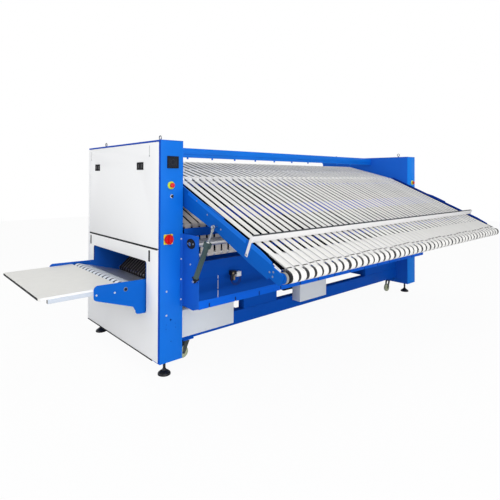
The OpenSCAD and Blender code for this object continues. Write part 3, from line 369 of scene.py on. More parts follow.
def ring_of(bm, along, side, centre, r, steps):
    """A ring of vertices round a line, or one vertex where the radius is nought."""
    if r < 1e-6:
        return [bm.verts.new(centre)]
    other = along.cross(side)
    return [bm.verts.new(centre + side * (r * math.cos(a)) + other * (r * math.sin(a)))
            for a in turns(steps)]


def lathe(bm, profile, axis, at=(0, 0, 0), steps=40, hollow=False):
    """A profile of (distance along the axis, radius) spun round; a hollow one joins up."""
    along = AXES[axis]
    side = along.orthogonal().normalized()
    rings = [ring_of(bm, along, side, Vector(at) + along * t, r, steps) for t, r in profile]
    walls(bm, rings, hollow)
    if not hollow:
        caps(bm, rings)


def dome_head(bm, axis, at, radius, height):
    """A domed screw head that stands on at, over a flat washer."""
    lathe(bm, [(0, radius * 1.25), (height * 0.25, radius * 1.25), (height * 0.25, radius),
               (height * 0.6, radius * 0.92), (height * 0.88, radius * 0.6), (height, 0)],
          axis, at, 20)


def hex_head(bm, axis, at, radius, height):
    """A hexagon head on its washer."""
    lathe(bm, [(0, radius * 1.3), (height * 0.25, radius * 1.3)], axis, at, 20)
    lathe(bm, [(height * 0.25, radius), (height * 0.85, radius), (height, radius * 0.85)],
          axis, at, 6)


def tube(bm, points, radius, sides, closed=False):
    """A round tube along a path of points."""
    n = len(points)
    rings = []
    side = None
    for i, p in enumerate(points):
        before = points[i - 1] if closed or i else p
        after = points[(i + 1) % n] if closed or i < n - 1 else p
        along = (after - before).normalized()
        side = along.orthogonal() if side is None else side - along * side.dot(along)
        side.normalize()
        rings.append(ring_of(bm, along, side, p, radius, sides))
    walls(bm, rings, closed)
    if not closed:
        caps(bm, rings)


def pour(source, bm):
    """Moves all the forms of one bmesh into another."""
    mesh = bpy.data.meshes.new("poured")
    source.to_mesh(mesh)
    source.free()
    bm.from_mesh(mesh)
    bpy.data.meshes.remove(mesh)


def object_of(name, bm, materials):
    mesh = bpy.data.meshes.new(name)
    bm.to_mesh(mesh)
    bm.free()
    for material in materials:
        mesh.materials.append(MATERIALS[material])
    obj = bpy.data.objects.new(name, mesh)
    bpy.context.scene.collection.objects.link(obj)
    return obj


def drawn(forms):
    """A bmesh with forms in it, each given as its helper and what that takes."""
    bm = bmesh.new()
    for helper, *given in forms:
        helper(bm, *given)
    return bm


def piece(name, forms, slot, replaces=(), material=None, body="frame", crease=35.0, paints=()):
    """Makes one piece from a list of forms or a bmesh, with its edges sharp where they bend past
    crease. Paints are further materials, each with a test for the faces that take it."""
    bm = drawn(forms) if isinstance(forms, list) else forms
    bmesh.ops.recalc_face_normals(bm, faces=bm.faces)
    bm.normal_update()
    for face in bm.faces:
        face.smooth = True
        middle = face.calc_center_median()
        for number, (_, test) in enumerate(paints, 1):
            if test(middle, face.normal):
                face.material_index = number
    for edge in bm.edges:
        if len(edge.link_faces) == 2 and edge.calc_face_angle(0) > math.radians(crease):
            edge.smooth = False
    bmesh.ops.translate(bm, verts=bm.verts, vec=ORIGIN)
    obj = object_of(name, bm, [material or slot] + [extra for extra, _ in paints])
    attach(obj, body)
    if replaces:
        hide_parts(*replaces)


# Forms taken over from the CAD nodes
WELD = 2e-6


def groups_of(bm):
    """The vertices of each separate solid in a bmesh."""
    left = set(bm.verts)
    while left:
        group, waiting = [], [left.pop()]
        while waiting:
            vert = waiting.pop()
            group.append(vert)
            for edge in vert.link_edges:
                other = edge.other_vert(vert)
                if other in left:
                    left.discard(other)
                    waiting.append(other)
        yield group


def take(bm, node, bevel=0.0, pick=None):
    """Adds the solids of a CAD node that pick accepts by their corners, long edges rounded."""
    source = bmesh.new()
    source.from_mesh(frame["nodes"][node].data)
    bmesh.ops.remove_doubles(source, verts=source.verts, dist=WELD)
    bmesh.ops.translate(source, verts=source.verts, vec=-ORIGIN)
    if pick:
        drop = []
        for group in groups_of(source):
            lo, hi = (Vector([limit(v.co[i] for v in group) for i in range(3)])
                      for limit in (min, max))
            if not pick(lo, hi):
                drop += group
        bmesh.ops.delete(source, geom=drop, context="VERTS")
    if bevel:
        bmesh.ops.dissolve_limit(source, angle_limit=math.radians(0.4), verts=source.verts,
                                 edges=source.edges)
        sharp = [e for e in source.edges if len(e.link_faces) == 2
                 and e.calc_face_angle(0) > math.radians(30) and e.calc_length() > 6 * bevel]
        bmesh.ops.bevel(source, geom=sharp, offset=bevel, segments=2, profile=0.5,
                        affect="EDGES", clamp_overlap=True)
    pour(source, bm)


def taken(name, node, slot, bevel=0.0, pick=None, **how):
    """A piece that is a CAD node, or some of its solids, with its edges rounded."""
    piece(name, [(take, node, bevel, pick)], slot, [node], **how)


# The front roller's dark metal is painted reflection.
OWN_SHADES = {"front_roller": "dark_reflection_roller", "delivery_nose_roller": "nose_navy"}


def dress_frame():
    """Every CAD node takes the finish that the record names for it, or its own shade of it."""
    for part in frame["record"]["subparts"]:
        materials = frame["nodes"][part["node"]].data.materials
        materials.clear()
        materials.append(MATERIALS[OWN_SHADES.get(part["node"], part["material_slot"])])


# The two towers
SKIN = 0.0006
FLAT = 0.9
TOWER_EDGE = 0.0014
SHEET_EDGE = 0.0007


def towers():
    def inside(x0):
        return lambda m, n: (x0 + SKIN < m.x < x0 + TOWER_T - SKIN
                             and SKIN < m.y < TOWER_D - SKIN
                             and TOWER_Z0 + SKIN < m.z < TOWER_TOP - SKIN)
    # Painted shade: the towers' inside faces take a darker blue, and so do the control tower's
    # outer face and the far tower's face toward it, on the -X side. Painted light: the far tower's
    # front faces take a lighter blue.
    taken("left_tower", "left_tower_shell", "blue_paint", TOWER_EDGE,
          paints=[("inner_shade_blue", inside(0.0)),
                  ("edge_shade_blue", lambda m, n: n.x < -FLAT and m.x < SKIN)])
    taken("right_tower", "right_tower_shell", "blue_paint", TOWER_EDGE,
          paints=[("inner_shade_blue", inside(FAR_X)),
                  ("side_shade_blue", lambda m, n: n.x < -FLAT and m.x < FAR_X + SKIN),
                  ("far_lit_blue", lambda m, n: n.y < -FLAT and m.y < SKIN)])
    taken("far_side_panels", "side_and_rear_covers", "white_paint", SHEET_EDGE,
          pick=lambda lo, hi: lo.x > FAR_X)
    taken("rear_covers", "side_and_rear_covers", "deep_blue_paint", SHEET_EDGE,
          pick=lambda lo, hi: lo.x < FAR_X)


# The door, the cover under it and what is set in them. OFF keeps two faces from lying in one.
OFF = 0.0001
STRIP_T = 0.0012
STRIP_EDGE = 0.0004
COLUMN_D = 0.030
SEAM_END = COLUMN_D + 0.012
SEAM = [(-0.0022, 1.010), (-OFF, 1.010), (-OFF, 1.0164), (0.008, 1.0164), (0.008, 1.023),
        (-0.0022, 1.023)]
FINGER_SLOT_Y = (0.175, TOWER_D - 0.069)
FINGER_SLOT_Z = (0.905, 0.995)
FINGER_SLOT_HALF = 0.0125
SLIT_Y = (0.1815, TOWER_D - 0.0655)
SLIT_Z = (TOWER_TOP - 0.122, TOWER_TOP - 0.038)
SLIT_HALF = 0.0019
SLIT_END = [(OFF, 0.0062), (0.0008, 0.0058)]


def side_panels():
    taken("lower_cover", "left_lower_cover", "white_paint", SHEET_EDGE)
    taken("side_door_panel", "left_side_door", "white_paint", SHEET_EDGE, body="side_door")
    piece("seam_trim", [(soft_prism, SEAM, "y", SEAM_END, TOWER_D - SEAM_END, 0.0008)],
          "black_plastic", material="rubber")
    piece("cover_bottom_trim",
          [(block, (-STRIP_T, 0.115, TOWER_Z0 - 0.0055),
            (-OFF, TOWER_D - 0.004, TOWER_Z0 + 0.0053), STRIP_EDGE)],
          "black_plastic", material="rubber")
    piece("rear_corner_trim",
          [(block, (-STRIP_T, TOWER_D - COLUMN_D - 0.0015, TOWER_Z0 + 0.006),
            (-OFF, TOWER_D - 0.0005, TOWER_TOP - 0.016), STRIP_EDGE)], "white_paint")
    low, high = FINGER_SLOT_Z
    piece("finger_slots",
          [(cup, (y - FINGER_SLOT_HALF, low), (y + FINGER_SLOT_HALF, high), 0.005, 0.003, "x",
            -STRIP_T, -OFF, 0.009) for y in FINGER_SLOT_Y], "black_plastic", material="rubber")
    low, high = SLIT_Z
    slits = [(block, (-0.0007, y - SLIT_HALF, low), (-OFF, y + SLIT_HALF, high), 0.0002)
             for y in SLIT_Y]
    ends = [(lathe, SLIT_END, "-x", (0, y, low), 20) for y in SLIT_Y]
    piece("door_slit_seals", slits + ends, "black_plastic", material="mark_grey", body="side_door")


LATCH_W = 0.115
LATCH_FACE, LATCH_WELL, LATCH_FOOT = -0.0015, 0.0022, 0.0055
LATCH_ROD_R = 0.0018
PULL_HALF = 0.0135
PULL_APART = 0.027


def latches():
    """Black paddle latches: a rim round two sunken pulls, and the rod that it turns on."""
    for name, node in (("front_latch", "front_door_latch"), ("rear_latch", "rear_door_latch")):
        lo, hi = span(node)
        y = (lo.y + hi.y) / 2
        piece(name + "_paddle",
              [(cup, (y - LATCH_W / 2, lo.z), (y + LATCH_W / 2, hi.z), 0.004, 0.010, "x",
                LATCH_FACE, LATCH_FOOT, LATCH_WELL),
               (lathe, [(lo.y - y, LATCH_ROD_R), (hi.y - y, LATCH_ROD_R)], "y",
                (0.003, y, hi.z - 0.006), 12)], "black_plastic", [node], "rubber", name)
        piece(name + "_pulls",
              [(slab, (middle - PULL_HALF, lo.z + 0.014), (middle + PULL_HALF, hi.z - 0.014),
                0.003, "x", -0.0008, LATCH_WELL, 0.0007)
               for middle in (y - PULL_APART, y + PULL_APART)], "black_plastic", body=name)


# Frame between the towers
STEP_Z = 0.708
SLOT_X = (TOWER_T + 0.262, TOWER_T + 0.476, FAR_X - 0.491, FAR_X - 0.277)
SLOT_ROWS = ((-0.217, -0.144), (-0.141, -0.051), (-0.048, -0.003))
SLOT_Y = 0.1632
SLOT_W = 0.015
NOTCH_X = [0.304 + 0.267 * i for i in range(math.ceil((FAR_X - 0.04 - 0.306) / 0.267))]
NOTCH_W = 0.014
NOTCH_H = 0.038


def between_towers():
    taken("top_cross_beam", "top_beam", "blue_paint", 0.0012)
    taken("base_beams", "base_frame", "deep_blue_paint", 0.0014)
    taken("front_rail", "lower_rail", "blue_paint", 0.0009, material="rail_blue")
    taken("cross_panels", "lower_cross_panels", "deep_blue_paint", 0.0009)
    piece("slot_strips",
          [(block, (x, SLOT_Y, STEP_Z + z0), (x + SLOT_W, SLOT_Y + 0.002, STEP_Z + z1), STRIP_EDGE)
           for x in SLOT_X for z0, z1 in SLOT_ROWS], "white_paint")
    rail = span("lower_rail")[0]
    y0, y1, z0, z1 = rail.y + 0.0033, rail.y + 0.006, rail.z + 0.0035, rail.z + NOTCH_H
    # Painted shade: black blocks on the rail stand in for the dark inside of its notches.
    piece("notch_shade_marks", [(block, (x, y0, z0), (x + NOTCH_W, y1, z1), STRIP_EDGE)
                           for x in NOTCH_X], "black_plastic", material="rubber")
    # Painted shade: the brackets take the darker side blue.
    taken("tower_brackets", "tilt_brackets", "blue_paint", 0.0010, material="side_shade_blue")
    taken("light_boxes", "electrical_boxes", "grey_paint", 0.0014)


BEARING_R = 0.040
BEARING_BORE = 0.0153
FLANGE_T = 0.006
TOWER_SHEET = 0.005
OVAL = 1.4


def bearing(bm, bolts, x, centre, way, stretch=1.0):
    """A two bolt flange bearing whose flange, drawn out to an oval by stretch, lies on x and
    whose hub stands off it."""
    axis = "x" if way > 0 else "-x"
    at = (x, *centre)
    lathe(bm, [(FLANGE_T, BEARING_BORE), (FLANGE_T, BEARING_R * 0.74),
               (0.0115, BEARING_R * 0.64), (0.014, BEARING_R * 0.56), (0.014, BEARING_BORE)],
          axis, at, 28, True)
    flange = bmesh.new()
    lathe(flange, [(0, BEARING_BORE), (0, BEARING_R), (0.0045, BEARING_R),
                   (FLANGE_T, BEARING_R * 0.95), (FLANGE_T, BEARING_BORE)], axis, at, 28, True)
    for vert in flange.verts:
        off = vert.co.y - centre.x
        if abs(off) > BEARING_BORE and (vert.co.yz - centre).length > BEARING_BORE * 1.2:
            vert.co.y = centre.x + off * stretch
    pour(flange, bm)
    for side in (-1, 1):
        spot = (x + way * FLANGE_T, centre.x + side * BEARING_R * (0.62 + (stretch - 1) * 0.8),
                centre.y - side * BEARING_R * (0.42 if stretch == 1 else 0.05))
        hex_head(bolts, axis, spot, 0.0058, 0.0045)


def bearings():
    bm, bolts = bmesh.new(), bmesh.new()
    for joint in ("kink_roller_spin", "top_roller_spin", "lower_drive_roller_spin"):
        bearing(bm, bolts, TOWER_T - TOWER_SHEET, yz(joint), -1)
        bearing(bm, bolts, FAR_X + TOWER_SHEET, yz(joint), 1)
    bearing(bm, bolts, TOWER_T, yz("lower_roller_spin"), -1, OVAL)
    bearing(bm, bolts, FAR_X, yz("lower_roller_spin"), 1, OVAL)
    piece("bearing_housings", bm, "black_metal", ["flange_bearings"], crease=20)
    piece("bearing_bolts", bolts, "steel", material="bolt_grey")


# Bolts, pins and lifting eyes on the frame
FLANGE_BOLT_X = 0.188
FLANGE_BOLT_Z = [0.606 + i * 0.1613 for i in range(4)]
COLUMN_BOLT_X = 0.058
COLUMN_BOLT_Z = (0.688, 0.501)
WING_Y = ((0.235, "-y"), (1.310, "y"))
WING_BOLTS = ((-0.405, 0.692), (-0.261, 0.688))
ARM_BOLT_X = 0.205
ARM_BOLT = (-0.112, 0.899)
EYE_Y = (0.190, TOWER_D - 0.190)
EYE_FOOT = [(0, 0.0155), (0.004, 0.0155), (0.0052, 0.0145), (0.0052, 0.0085), (0.013, 0.0065),
            (0.013, 0)]
EYE_R = 0.0165
EYE_Z = TOWER_TOP + 0.032


def fasteners():
    heads = [(dome_head, "-y", (x, -0.004, z), 0.0058, 0.004)
             for z in FLANGE_BOLT_Z for x, _ in both_sides(FLANGE_BOLT_X)]
    heads += [(dome_head, "-y", (x, 0, z), 0.0062, 0.003)
              for z in COLUMN_BOLT_Z for x, _ in both_sides(COLUMN_BOLT_X)]
    heads += [(dome_head, axis, (x, y, z), 0.0064, 0.004)
              for x, z in WING_BOLTS for y, axis in WING_Y]
    heads += [(hex_head, axis, (x, *ARM_BOLT), 0.0055, 0.004)
              for x, axis in both_sides(ARM_BOLT_X)]
    piece("frame_bolts", heads, "steel", ["frame_fasteners"], "bolt_pale")
    taken("cylinder_base_pins", "frame_fasteners", "steel",
          pick=lambda lo, hi: hi.y < -0.19 and hi.z < 0.81 and lo.z > 0.76)
    eyes = []
    for x, _ in both_sides(TOWER_T / 2):
        for y in EYE_Y:
            ring = [Vector((x, y + EYE_R * math.cos(a), EYE_Z + EYE_R * math.sin(a)))
                    for a in turns(32)]
            eyes += [(lathe, EYE_FOOT, "z", (x, y, TOWER_TOP), 24), (tube, ring, 0.0042, 10, True)]
    piece("lifting_eyes", eyes, "steel", material="dark_steel")


# Belts
BELT_T = 0.002
BELT_CLEAR = 0.0004
BELT_EDGE = 0.0006


def heading(turn):
    return Vector((math.cos(turn), math.sin(turn)))


def leaves(a, b):
    """Direction from a wheel's centre to where the outer belt run to the next wheel leaves it."""
    d = b[0] - a[0]
    return math.atan2(d.y, d.x) - math.acos((a[1] - b[1]) / d.length)


def band(wheels, extra, step=0.14):
    """Closed line round circles that are listed counterclockwise as centre and radius."""
    points = []
    for i, (centre, radius) in enumerate(wheels):
        a0 = leaves(wheels[i - 1], wheels[i])
        bend = (leaves(wheels[i], wheels[(i + 1) % len(wheels)]) - a0) % (2 * math.pi)
        count = max(2, math.ceil(bend / step))
        points += [centre + (radius + extra) * heading(a0 + bend * k / count)
                   for k in range(count + 1)]
    return points


def add_belt(bm, wheels, axis, a, b):
    """One flat belt round its rollers, with softened edges."""
    inner, outer = BELT_CLEAR, BELT_CLEAR + BELT_T
    section = [(inner, a), (outer - BELT_EDGE, a), (outer, a + BELT_EDGE), (outer, b - BELT_EDGE),
               (outer - BELT_EDGE, b), (inner, b)]
    rings = [[bm.verts.new(SPOT[axis](p, t)) for p in band(wheels, extra)] for extra, t in section]
    walls(bm, rings, True)


# The table's line: along runs up the table, upright away from its belts
FRONT_R = 0.038
KINK_R = 0.030
FRONT = yz("front_roller_spin")
KINK = yz("kink_roller_spin")
REACH = KINK - FRONT
SLOPE = math.atan2(REACH.y, REACH.x) - math.asin((FRONT_R - KINK_R) / REACH.length)
ALONG = heading(SLOPE)
UPRIGHT = ALONG.orthogonal()
BEND = KINK + (KINK_R + BELT_T) * UPRIGHT
TABLE_RUN = (BEND - FRONT).dot(ALONG)


def on_table(s, d):
    """Point at distance s down the table from the bend and depth d under the belts' faces."""
    return BEND - s * ALONG - d * UPRIGHT


def table_line(*points):
    return [on_table(s, d) for s, d in points]


def table_strip(*ends):
    return table_line(*rectangle(*ends))


TOP_R = 0.038
NOSE_R = 0.012
DRIVE_R = 0.024
TOP = yz("top_roller_spin")
DRIVE = yz("lower_drive_roller_spin")
BELTS_LO, BELTS_HI = span("table_belts")
BELT_W = 0.050
LOWER_BELT_W = 0.058
BELT_PITCH = 0.0765
BELT_COUNT = round((BELTS_HI.x - BELTS_LO.x - BELT_W) / BELT_PITCH) + 1
BELT_X = [BELTS_LO.x + i * BELT_PITCH for i in range(BELT_COUNT)]
BELTS_X0, BELTS_X1 = BELT_X[0], BELT_X[-1] + BELT_W
UPPER_ALONG = heading(math.radians(13.8))
NOSE_S = KINK_R + NOSE_R + 2 * BELT_T + 0.008
NOSE = BEND + NOSE_S * UPPER_ALONG - (NOSE_R + BELT_T) * UPPER_ALONG.orthogonal()
LOWER_NOSE = DRIVE + Vector((0, 0.255))
LOWER_REAR = DRIVE + Vector((0.570, 0.500))
TABLE_WHEELS = [(FRONT, FRONT_R), (KINK, KINK_R)]
UPPER_WHEELS = [(NOSE, NOSE_R), (TOP, TOP_R)]
LOWER_WHEELS = [(DRIVE, DRIVE_R), (LOWER_REAR, NOSE_R), (LOWER_NOSE, NOSE_R)]
TABLE_DRIFT = 0.0065
SHEET_D = 0.005
SHEET_T = 0.0012
BAR_HALF = 0.012
JOINT_S = 1.400
JOINT_W = 0.010
JOINT_IN = 0.0008


def drift(i, reach, phase=0.0):
    """How far belt i runs off its even place, up to about reach to either side."""
    return reach * (0.62 * math.sin(0.83 * i + phase) + 0.38 * math.sin(2.31 * i + 1.7 + phase))


def belt_row(name, node, body, slot, wheels, width, reach, phase=0.0):
    places = [x + (BELT_W - width) / 2 + drift(i, reach, phase) for i, x in enumerate(BELT_X)]
    piece(name, [(add_belt, wheels, "x", x, x + width) for x in places], slot, [node], body=body)


def slide_sheets(name, slot, material, axis, a, b, depth, runs):
    """Thin sheets under belt runs, each from one wheel to another with its ends trimmed back."""
    forms = []
    for start, end, trim_start, trim_end in runs:
        out = heading(leaves(start, end))
        way = out.orthogonal()
        p = start[0] + out * start[1] + way * trim_start
        q = end[0] + out * end[1] - way * trim_end
        near, far = out * depth, out * (depth + SHEET_T)
        forms.append((prism, [p - near, q - near, q - far, p - far], axis, a, b))
    piece(name, forms, slot, material=material)


def belts():
    belt_row("feed_belts", "table_belts", "feed_table", "belt_cream", TABLE_WHEELS, BELT_W,
             TABLE_DRIFT)
    belt_row("folding_belts", "upper_belts", "frame", "belt_cream", UPPER_WHEELS, BELT_W, 0.004,
             2.0)
    belt_row("return_belts", "lower_belts", "frame", "belt_taupe", LOWER_WHEELS, LOWER_BELT_W,
             0.0035, 4.0)
    wide = (TOWER_T + 0.0003, FAR_X - 0.0003)
    to_bar = (TOP - NOSE).length / 2 + BAR_HALF
    nose, top = UPPER_WHEELS
    # Painted shade: dark sheets under the folding and return belts make the gaps between the belts
    # read dark.
    slide_sheets("folding_shadow_sheets", "deep_blue_paint", "deck_black", "x", *wide, SHEET_D,
                 [(top, nose, 0.042, to_bar), (top, nose, to_bar, 0.014)])
    drive, rear, nose = LOWER_WHEELS
    slide_sheets("return_shadow_sheets", "deep_blue_paint", "shadow_black", "x", *wide, SHEET_D,
                 [(rear, nose, 0.014, 0.016), (nose, drive, 0.016, 0.028)])
    joints = []
    for i, x in enumerate(BELT_X):
        x += drift(i, TABLE_DRIFT)
        s = JOINT_S + drift(i, 0.009, 1.0)
        joints.append((prism, table_strip(s, s + JOINT_W, -0.0005, 0.0002), "x", x + JOINT_IN,
                       x + BELT_W - JOINT_IN))
    piece("belt_joints", joints, "black_plastic", material="joint_grey", body="feed_table")


# The feed table's plates, bars, deck and guide bar
PLATE_X = 0.212
PLATE_T = 0.008
PLATE_IN = PLATE_X + PLATE_T
PLATE_FACE = PLATE_IN + 0.0002
RIBS = (0.254, ROW - 0.254)
BAR_S = (0.360, 0.835, 1.180)
BAR_R = 0.014
BAR_D = BELT_T + 0.002 + BAR_R
SHEET = 0.002
DECK_D = 0.0315
DECK_FROM, DECK_TO = 0.060, BAR_S[2] + 0.020
DECK_STOPS = (DECK_FROM, 0.112, 0.505, 0.695, 1.070, 1.120, DECK_TO)
BLUE_FIELDS = (0, 2, 4)
BED_D = 0.005
BED_START = 1.262
BED_TO = TABLE_RUN - 0.031
BED_CURL_R = 0.060
BED_CURL = [math.radians(50) * i / 8 for i in range(9)]
EDGE_STRIP_TO = 1.405
EDGE_STRIP_D = (0.006, 0.008)
FOLDS = (((0.300, -0.0155), (1.066, -0.0155), (1.066, 0.014), (0.300, 0.014)),
         ((1.124, -0.0155), (1.205, -0.0155), (1.335, -0.0035), (1.335, 0.014), (1.124, 0.014)))
FOLD_OUT = 0.0013
LINER = ((1.342, 0.0), (1.342, 0.026), (1.417, 0.026), (1.417, 0.004))
LINER_T = 0.003
GUIDE_S = 1.120
GUIDE_TOP = -0.066
GUIDE_LIP = (GUIDE_S - 0.003, GUIDE_S - 0.022, GUIDE_TOP - 0.0002, GUIDE_TOP - 0.0012)
GUIDE_BOLT = (GUIDE_S - 0.012, 0.078)
PLATE_BOLTS = ((1.342, 0.063), (1.371, 0.044), (1.377, 0.075), (0.435, 0.004), (0.600, 0.040),
               (0.790, 0.062))
COLLAR = [(0.0002, 0.0342), (0.0002, 0.0365), (0.0185, 0.0365), (0.0200, 0.0350),
          (0.0200, 0.0342)]
SEAL = [(0.0205, 0.0145), (0.0205, 0.0385), (0.0215, 0.0400), (0.0390, 0.0400),
        (0.0400, 0.0385), (0.0400, 0.0145)]


def on_feed_table(name, forms, slot, *given, **how):
    piece(name, forms, slot, *given, body="feed_table", **how)


def bed_face(d, radius):
    """The bed plate's line at a depth: straight down the table, then curled under."""
    curl = [on_table(BED_START - radius * math.sin(a), BED_D + BED_CURL_R - radius * math.cos(a))
            for a in BED_CURL]
    return [on_table(BED_TO, d)] + curl


def is_rod_pin(lo, hi):
    beside_plate = hi.x < 0.17 or lo.x > ROW - 0.17
    return hi.x - lo.x > 0.010 or (lo.z > 1.2 and -0.46 < hi.y < -0.43 and beside_plate)


def side_plates():
    # Painted light and shade: the near plate takes a darker copy of the blue with its upward faces
    # in the lighter blue paint; the far plate is navy with a darker blue on top; downward and +X
    # faces take a darker blue, and the near plate's inner face is painted shadow black.
    for name, near in (("left_side_plate", True), ("right_side_plate", False)):
        taken(name, "table_side_plates", "blue_paint", 0.0012, body="feed_table",
              pick=lambda lo, hi: (hi.x < ROW / 2) == near,
              material="plate_shade_blue" if near else "navy",
              paints=[("blue_paint" if near else "edge_shade_blue", lambda m, n: n.z > 0.5),
                      ("edge_shade_blue", lambda m, n: n.z < -0.5 or n.x > FLAT),
                      ("shadow_black", lambda m, n: PLATE_IN - 0.0003 < m.x < ROW / 2)])
    # Painted light: the fold strips take the lighter blue paint, standing in for light on the
    # plate's fold.
    on_feed_table("plate_fold_strips",
                  [(soft_prism, table_line(*fold), "x", *reach, 0.0004) for fold in FOLDS
                   for reach in mirrored(PLATE_X - FOLD_OUT, PLATE_X - OFF)], "blue_paint")
    on_feed_table("table_end_liners",
                  [(prism, table_line(*LINER), "x", *reach)
                   for reach in mirrored(PLATE_FACE, PLATE_FACE + LINER_T)], "white_paint")


def table_floor():
    # Painted shade: the steel cross tubes take the near-black deck colour, which lightens along the
    # machine as painted reflection.
    on_feed_table("cross_tubes", [(lathe, [(x, BAR_R) for x in RIBS], "x",
                                   (0, *on_table(s, BAR_D)), 32) for s in BAR_S],
                  "steel", ["table_cross_bars"], "deck_black")

    def blue_field(middle, normal):
        s = (BEND - middle.yz).dot(ALONG)
        return any(DECK_STOPS[i] < s < DECK_STOPS[i + 1] for i in BLUE_FIELDS)
    # Painted shade: a dark sheet under the belts makes the gaps between them read dark, with blue
    # fields; both lighten along the machine as painted reflection.
    deck = ([on_table(s, DECK_D) for s in DECK_STOPS]
            + [on_table(s, DECK_D + SHEET) for s in reversed(DECK_STOPS)])
    on_feed_table("table_shade_deck", [(prism, deck, "x", *RIBS)], "deep_blue_paint",
                  ["table_cross_bars"], "deck_black", paints=[("deck_blue_and_sheen", blue_field)])
    bed = bed_face(BED_D, BED_CURL_R) + bed_face(BED_D + SHEET, BED_CURL_R - SHEET)[::-1]
    on_feed_table("bed_plate", [(prism, bed, "x", BELTS_X0 + 0.002, BELTS_X1 - 0.002)],
                  "white_paint", ["table_cross_bars"], "guide_white", crease=20)
    strip = table_strip(DECK_FROM, EDGE_STRIP_TO, *EDGE_STRIP_D)
    on_feed_table("table_edge_strips",
                  [(prism, strip, "x", PLATE_FACE, BELTS_X0 - 0.0015),
                   (prism, strip, "x", BELTS_X1 + 0.0035, ROW - PLATE_FACE)],
                  "deep_blue_paint", material="shadow_black")


def table_fittings():
    taken("guide_angle", "guide_bar", "white_paint", SHEET_EDGE, body="feed_table",
          material="guide_white")
    on_feed_table("guide_lip_strip", [(prism, table_strip(*GUIDE_LIP), "x", PLATE_X + 0.0005,
                                       ROW - PLATE_X - 0.0005)],
                  "black_plastic", material="lip_grey")
    heads = [(dome_head, axis, (x, *on_table(*bolt)), 0.0056, 0.004)
             for bolt in PLATE_BOLTS for x, axis in both_sides(PLATE_X)]
    heads += [(dome_head, axis, (x, *on_table(*GUIDE_BOLT)), 0.0062, 0.004)
              for x, axis in both_sides(PLATE_X - 0.004)]
    on_feed_table("plate_bolts", heads, "steel", ["table_fasteners"], "bolt_grey")
    taken("cylinder_rod_pins", "table_fasteners", "steel", pick=is_rod_pin, body="feed_table")
    for name, profile, slot, material in (("roller_collars", COLLAR, "grey_paint", "liner_grey"),
                                          ("roller_seals", SEAL, "black_plastic", "rubber")):
        on_feed_table(name, [(lathe, profile, axis, (x, *FRONT), 48, True)
                             for x, axis in both_sides(PLATE_IN, ("x", "-x"))],
                      slot, material=material)


# Tilt cylinders, drawn along Z from the base pin
CYLINDER_X = 0.180
BASE_PIN = yz("left_barrel_swing")
LUG_PIN = Vector((-0.448, 1.226))
CYLINDER_L = (LUG_PIN - BASE_PIN).length
CYLINDER_TURN = math.atan2(LUG_PIN.y - BASE_PIN.y, LUG_PIN.x - BASE_PIN.x) - math.pi / 2
BARREL_L = 0.360
BARREL_R = 0.021
TUBE_R = 0.0203
ROD_R = 0.008
BARREL = [(lathe, [(0.033, 0.0195), (0.035, BARREL_R), (0.050, BARREL_R), (0.051, TUBE_R),
                   (0.309, TUBE_R), (0.310, BARREL_R), (BARREL_L - 0.0455, BARREL_R)], "z")]
CLEVIS = [(block, (-0.008, -0.014, 0), (0.008, 0.014, 0.024), 0.002),
          (lathe, [(-0.008, 0.0062), (-0.008, 0.0142), (0.008, 0.0142), (0.008, 0.0062)], "x",
           (0, 0, 0), 28, True),
          (block, (-0.021, -0.021, 0.022), (0.021, 0.021, 0.034), 0.003)]
CAP = [(block, (-0.021, -0.023, BARREL_L - 0.045), (0.021, 0.023, BARREL_L), 0.004),
       *((hex_head, "z", (dx, dy, BARREL_L), 0.0038, 0.004) for dx in (-0.014, 0.014)
         for dy in (-0.016, 0.016)),
       (lathe, [(0.0205, 0.007), (0.030, 0.007), (0.030, 0.0045), (0.036, 0.0045)], "-y",
        (0, 0, BARREL_L - 0.028), 20)]
GLAND = [(lathe, [(0, 0.0088), (0, 0.0150), (0.007, 0.0150), (0.009, 0.0125), (0.009, 0.0088)],
          "z", (0, 0, BARREL_L + 0.0002), 24, True)]
ROD = [(lathe, [(0.190, 0.0178), (0.210, 0.0178), (0.210, ROD_R), (CYLINDER_L - 0.016, ROD_R)],
        "z", (0, 0, 0), 32),
       (lathe, [(-0.037, 0.012), (-0.036, 0.0132), (-0.024, 0.0132), (-0.023, 0.012)], "z",
        (0, 0, CYLINDER_L), 6),
       (lathe, [(-0.023, 0.0105), (-0.011, 0.0115)], "z", (0, 0, CYLINDER_L), 24),
       (lathe, [(-0.008, 0.0092), (-0.008, 0.0142), (-0.006, 0.0150), (0.006, 0.0150),
                (0.008, 0.0142), (0.008, 0.0092)], "x", (0, 0, CYLINDER_L), 32, True)]


def cylinders():
    for side, x in (("left", CYLINDER_X), ("right", ROW - CYLINDER_X)):
        stand = Matrix.Translation((x, *BASE_PIN)) @ Matrix.Rotation(CYLINDER_TURN, 4, "X")
        cad = side + "_cylinder"
        for name, forms, slot, replaces, material, moves in (
                (cad + "_tube", BARREL, "cylinder_grey", [cad + "_barrel"], None, "_barrel"),
                (cad + "_clevis", CLEVIS, "black_metal", [], None, "_barrel"),
                (cad + "_cap", CAP, "grey_paint", [], "cylinder_grey", "_barrel"),
                (side + "_rod_gland", GLAND, "steel", [], "chrome", "_barrel"),
                (side + "_piston_rod", ROD, "steel", [cad + "_rod"], "rod_grey", "_rod")):
            bm = drawn(forms)
            bmesh.ops.transform(bm, matrix=stand, verts=bm.verts)
            piece(name, bm, slot, replaces, material, side + moves)


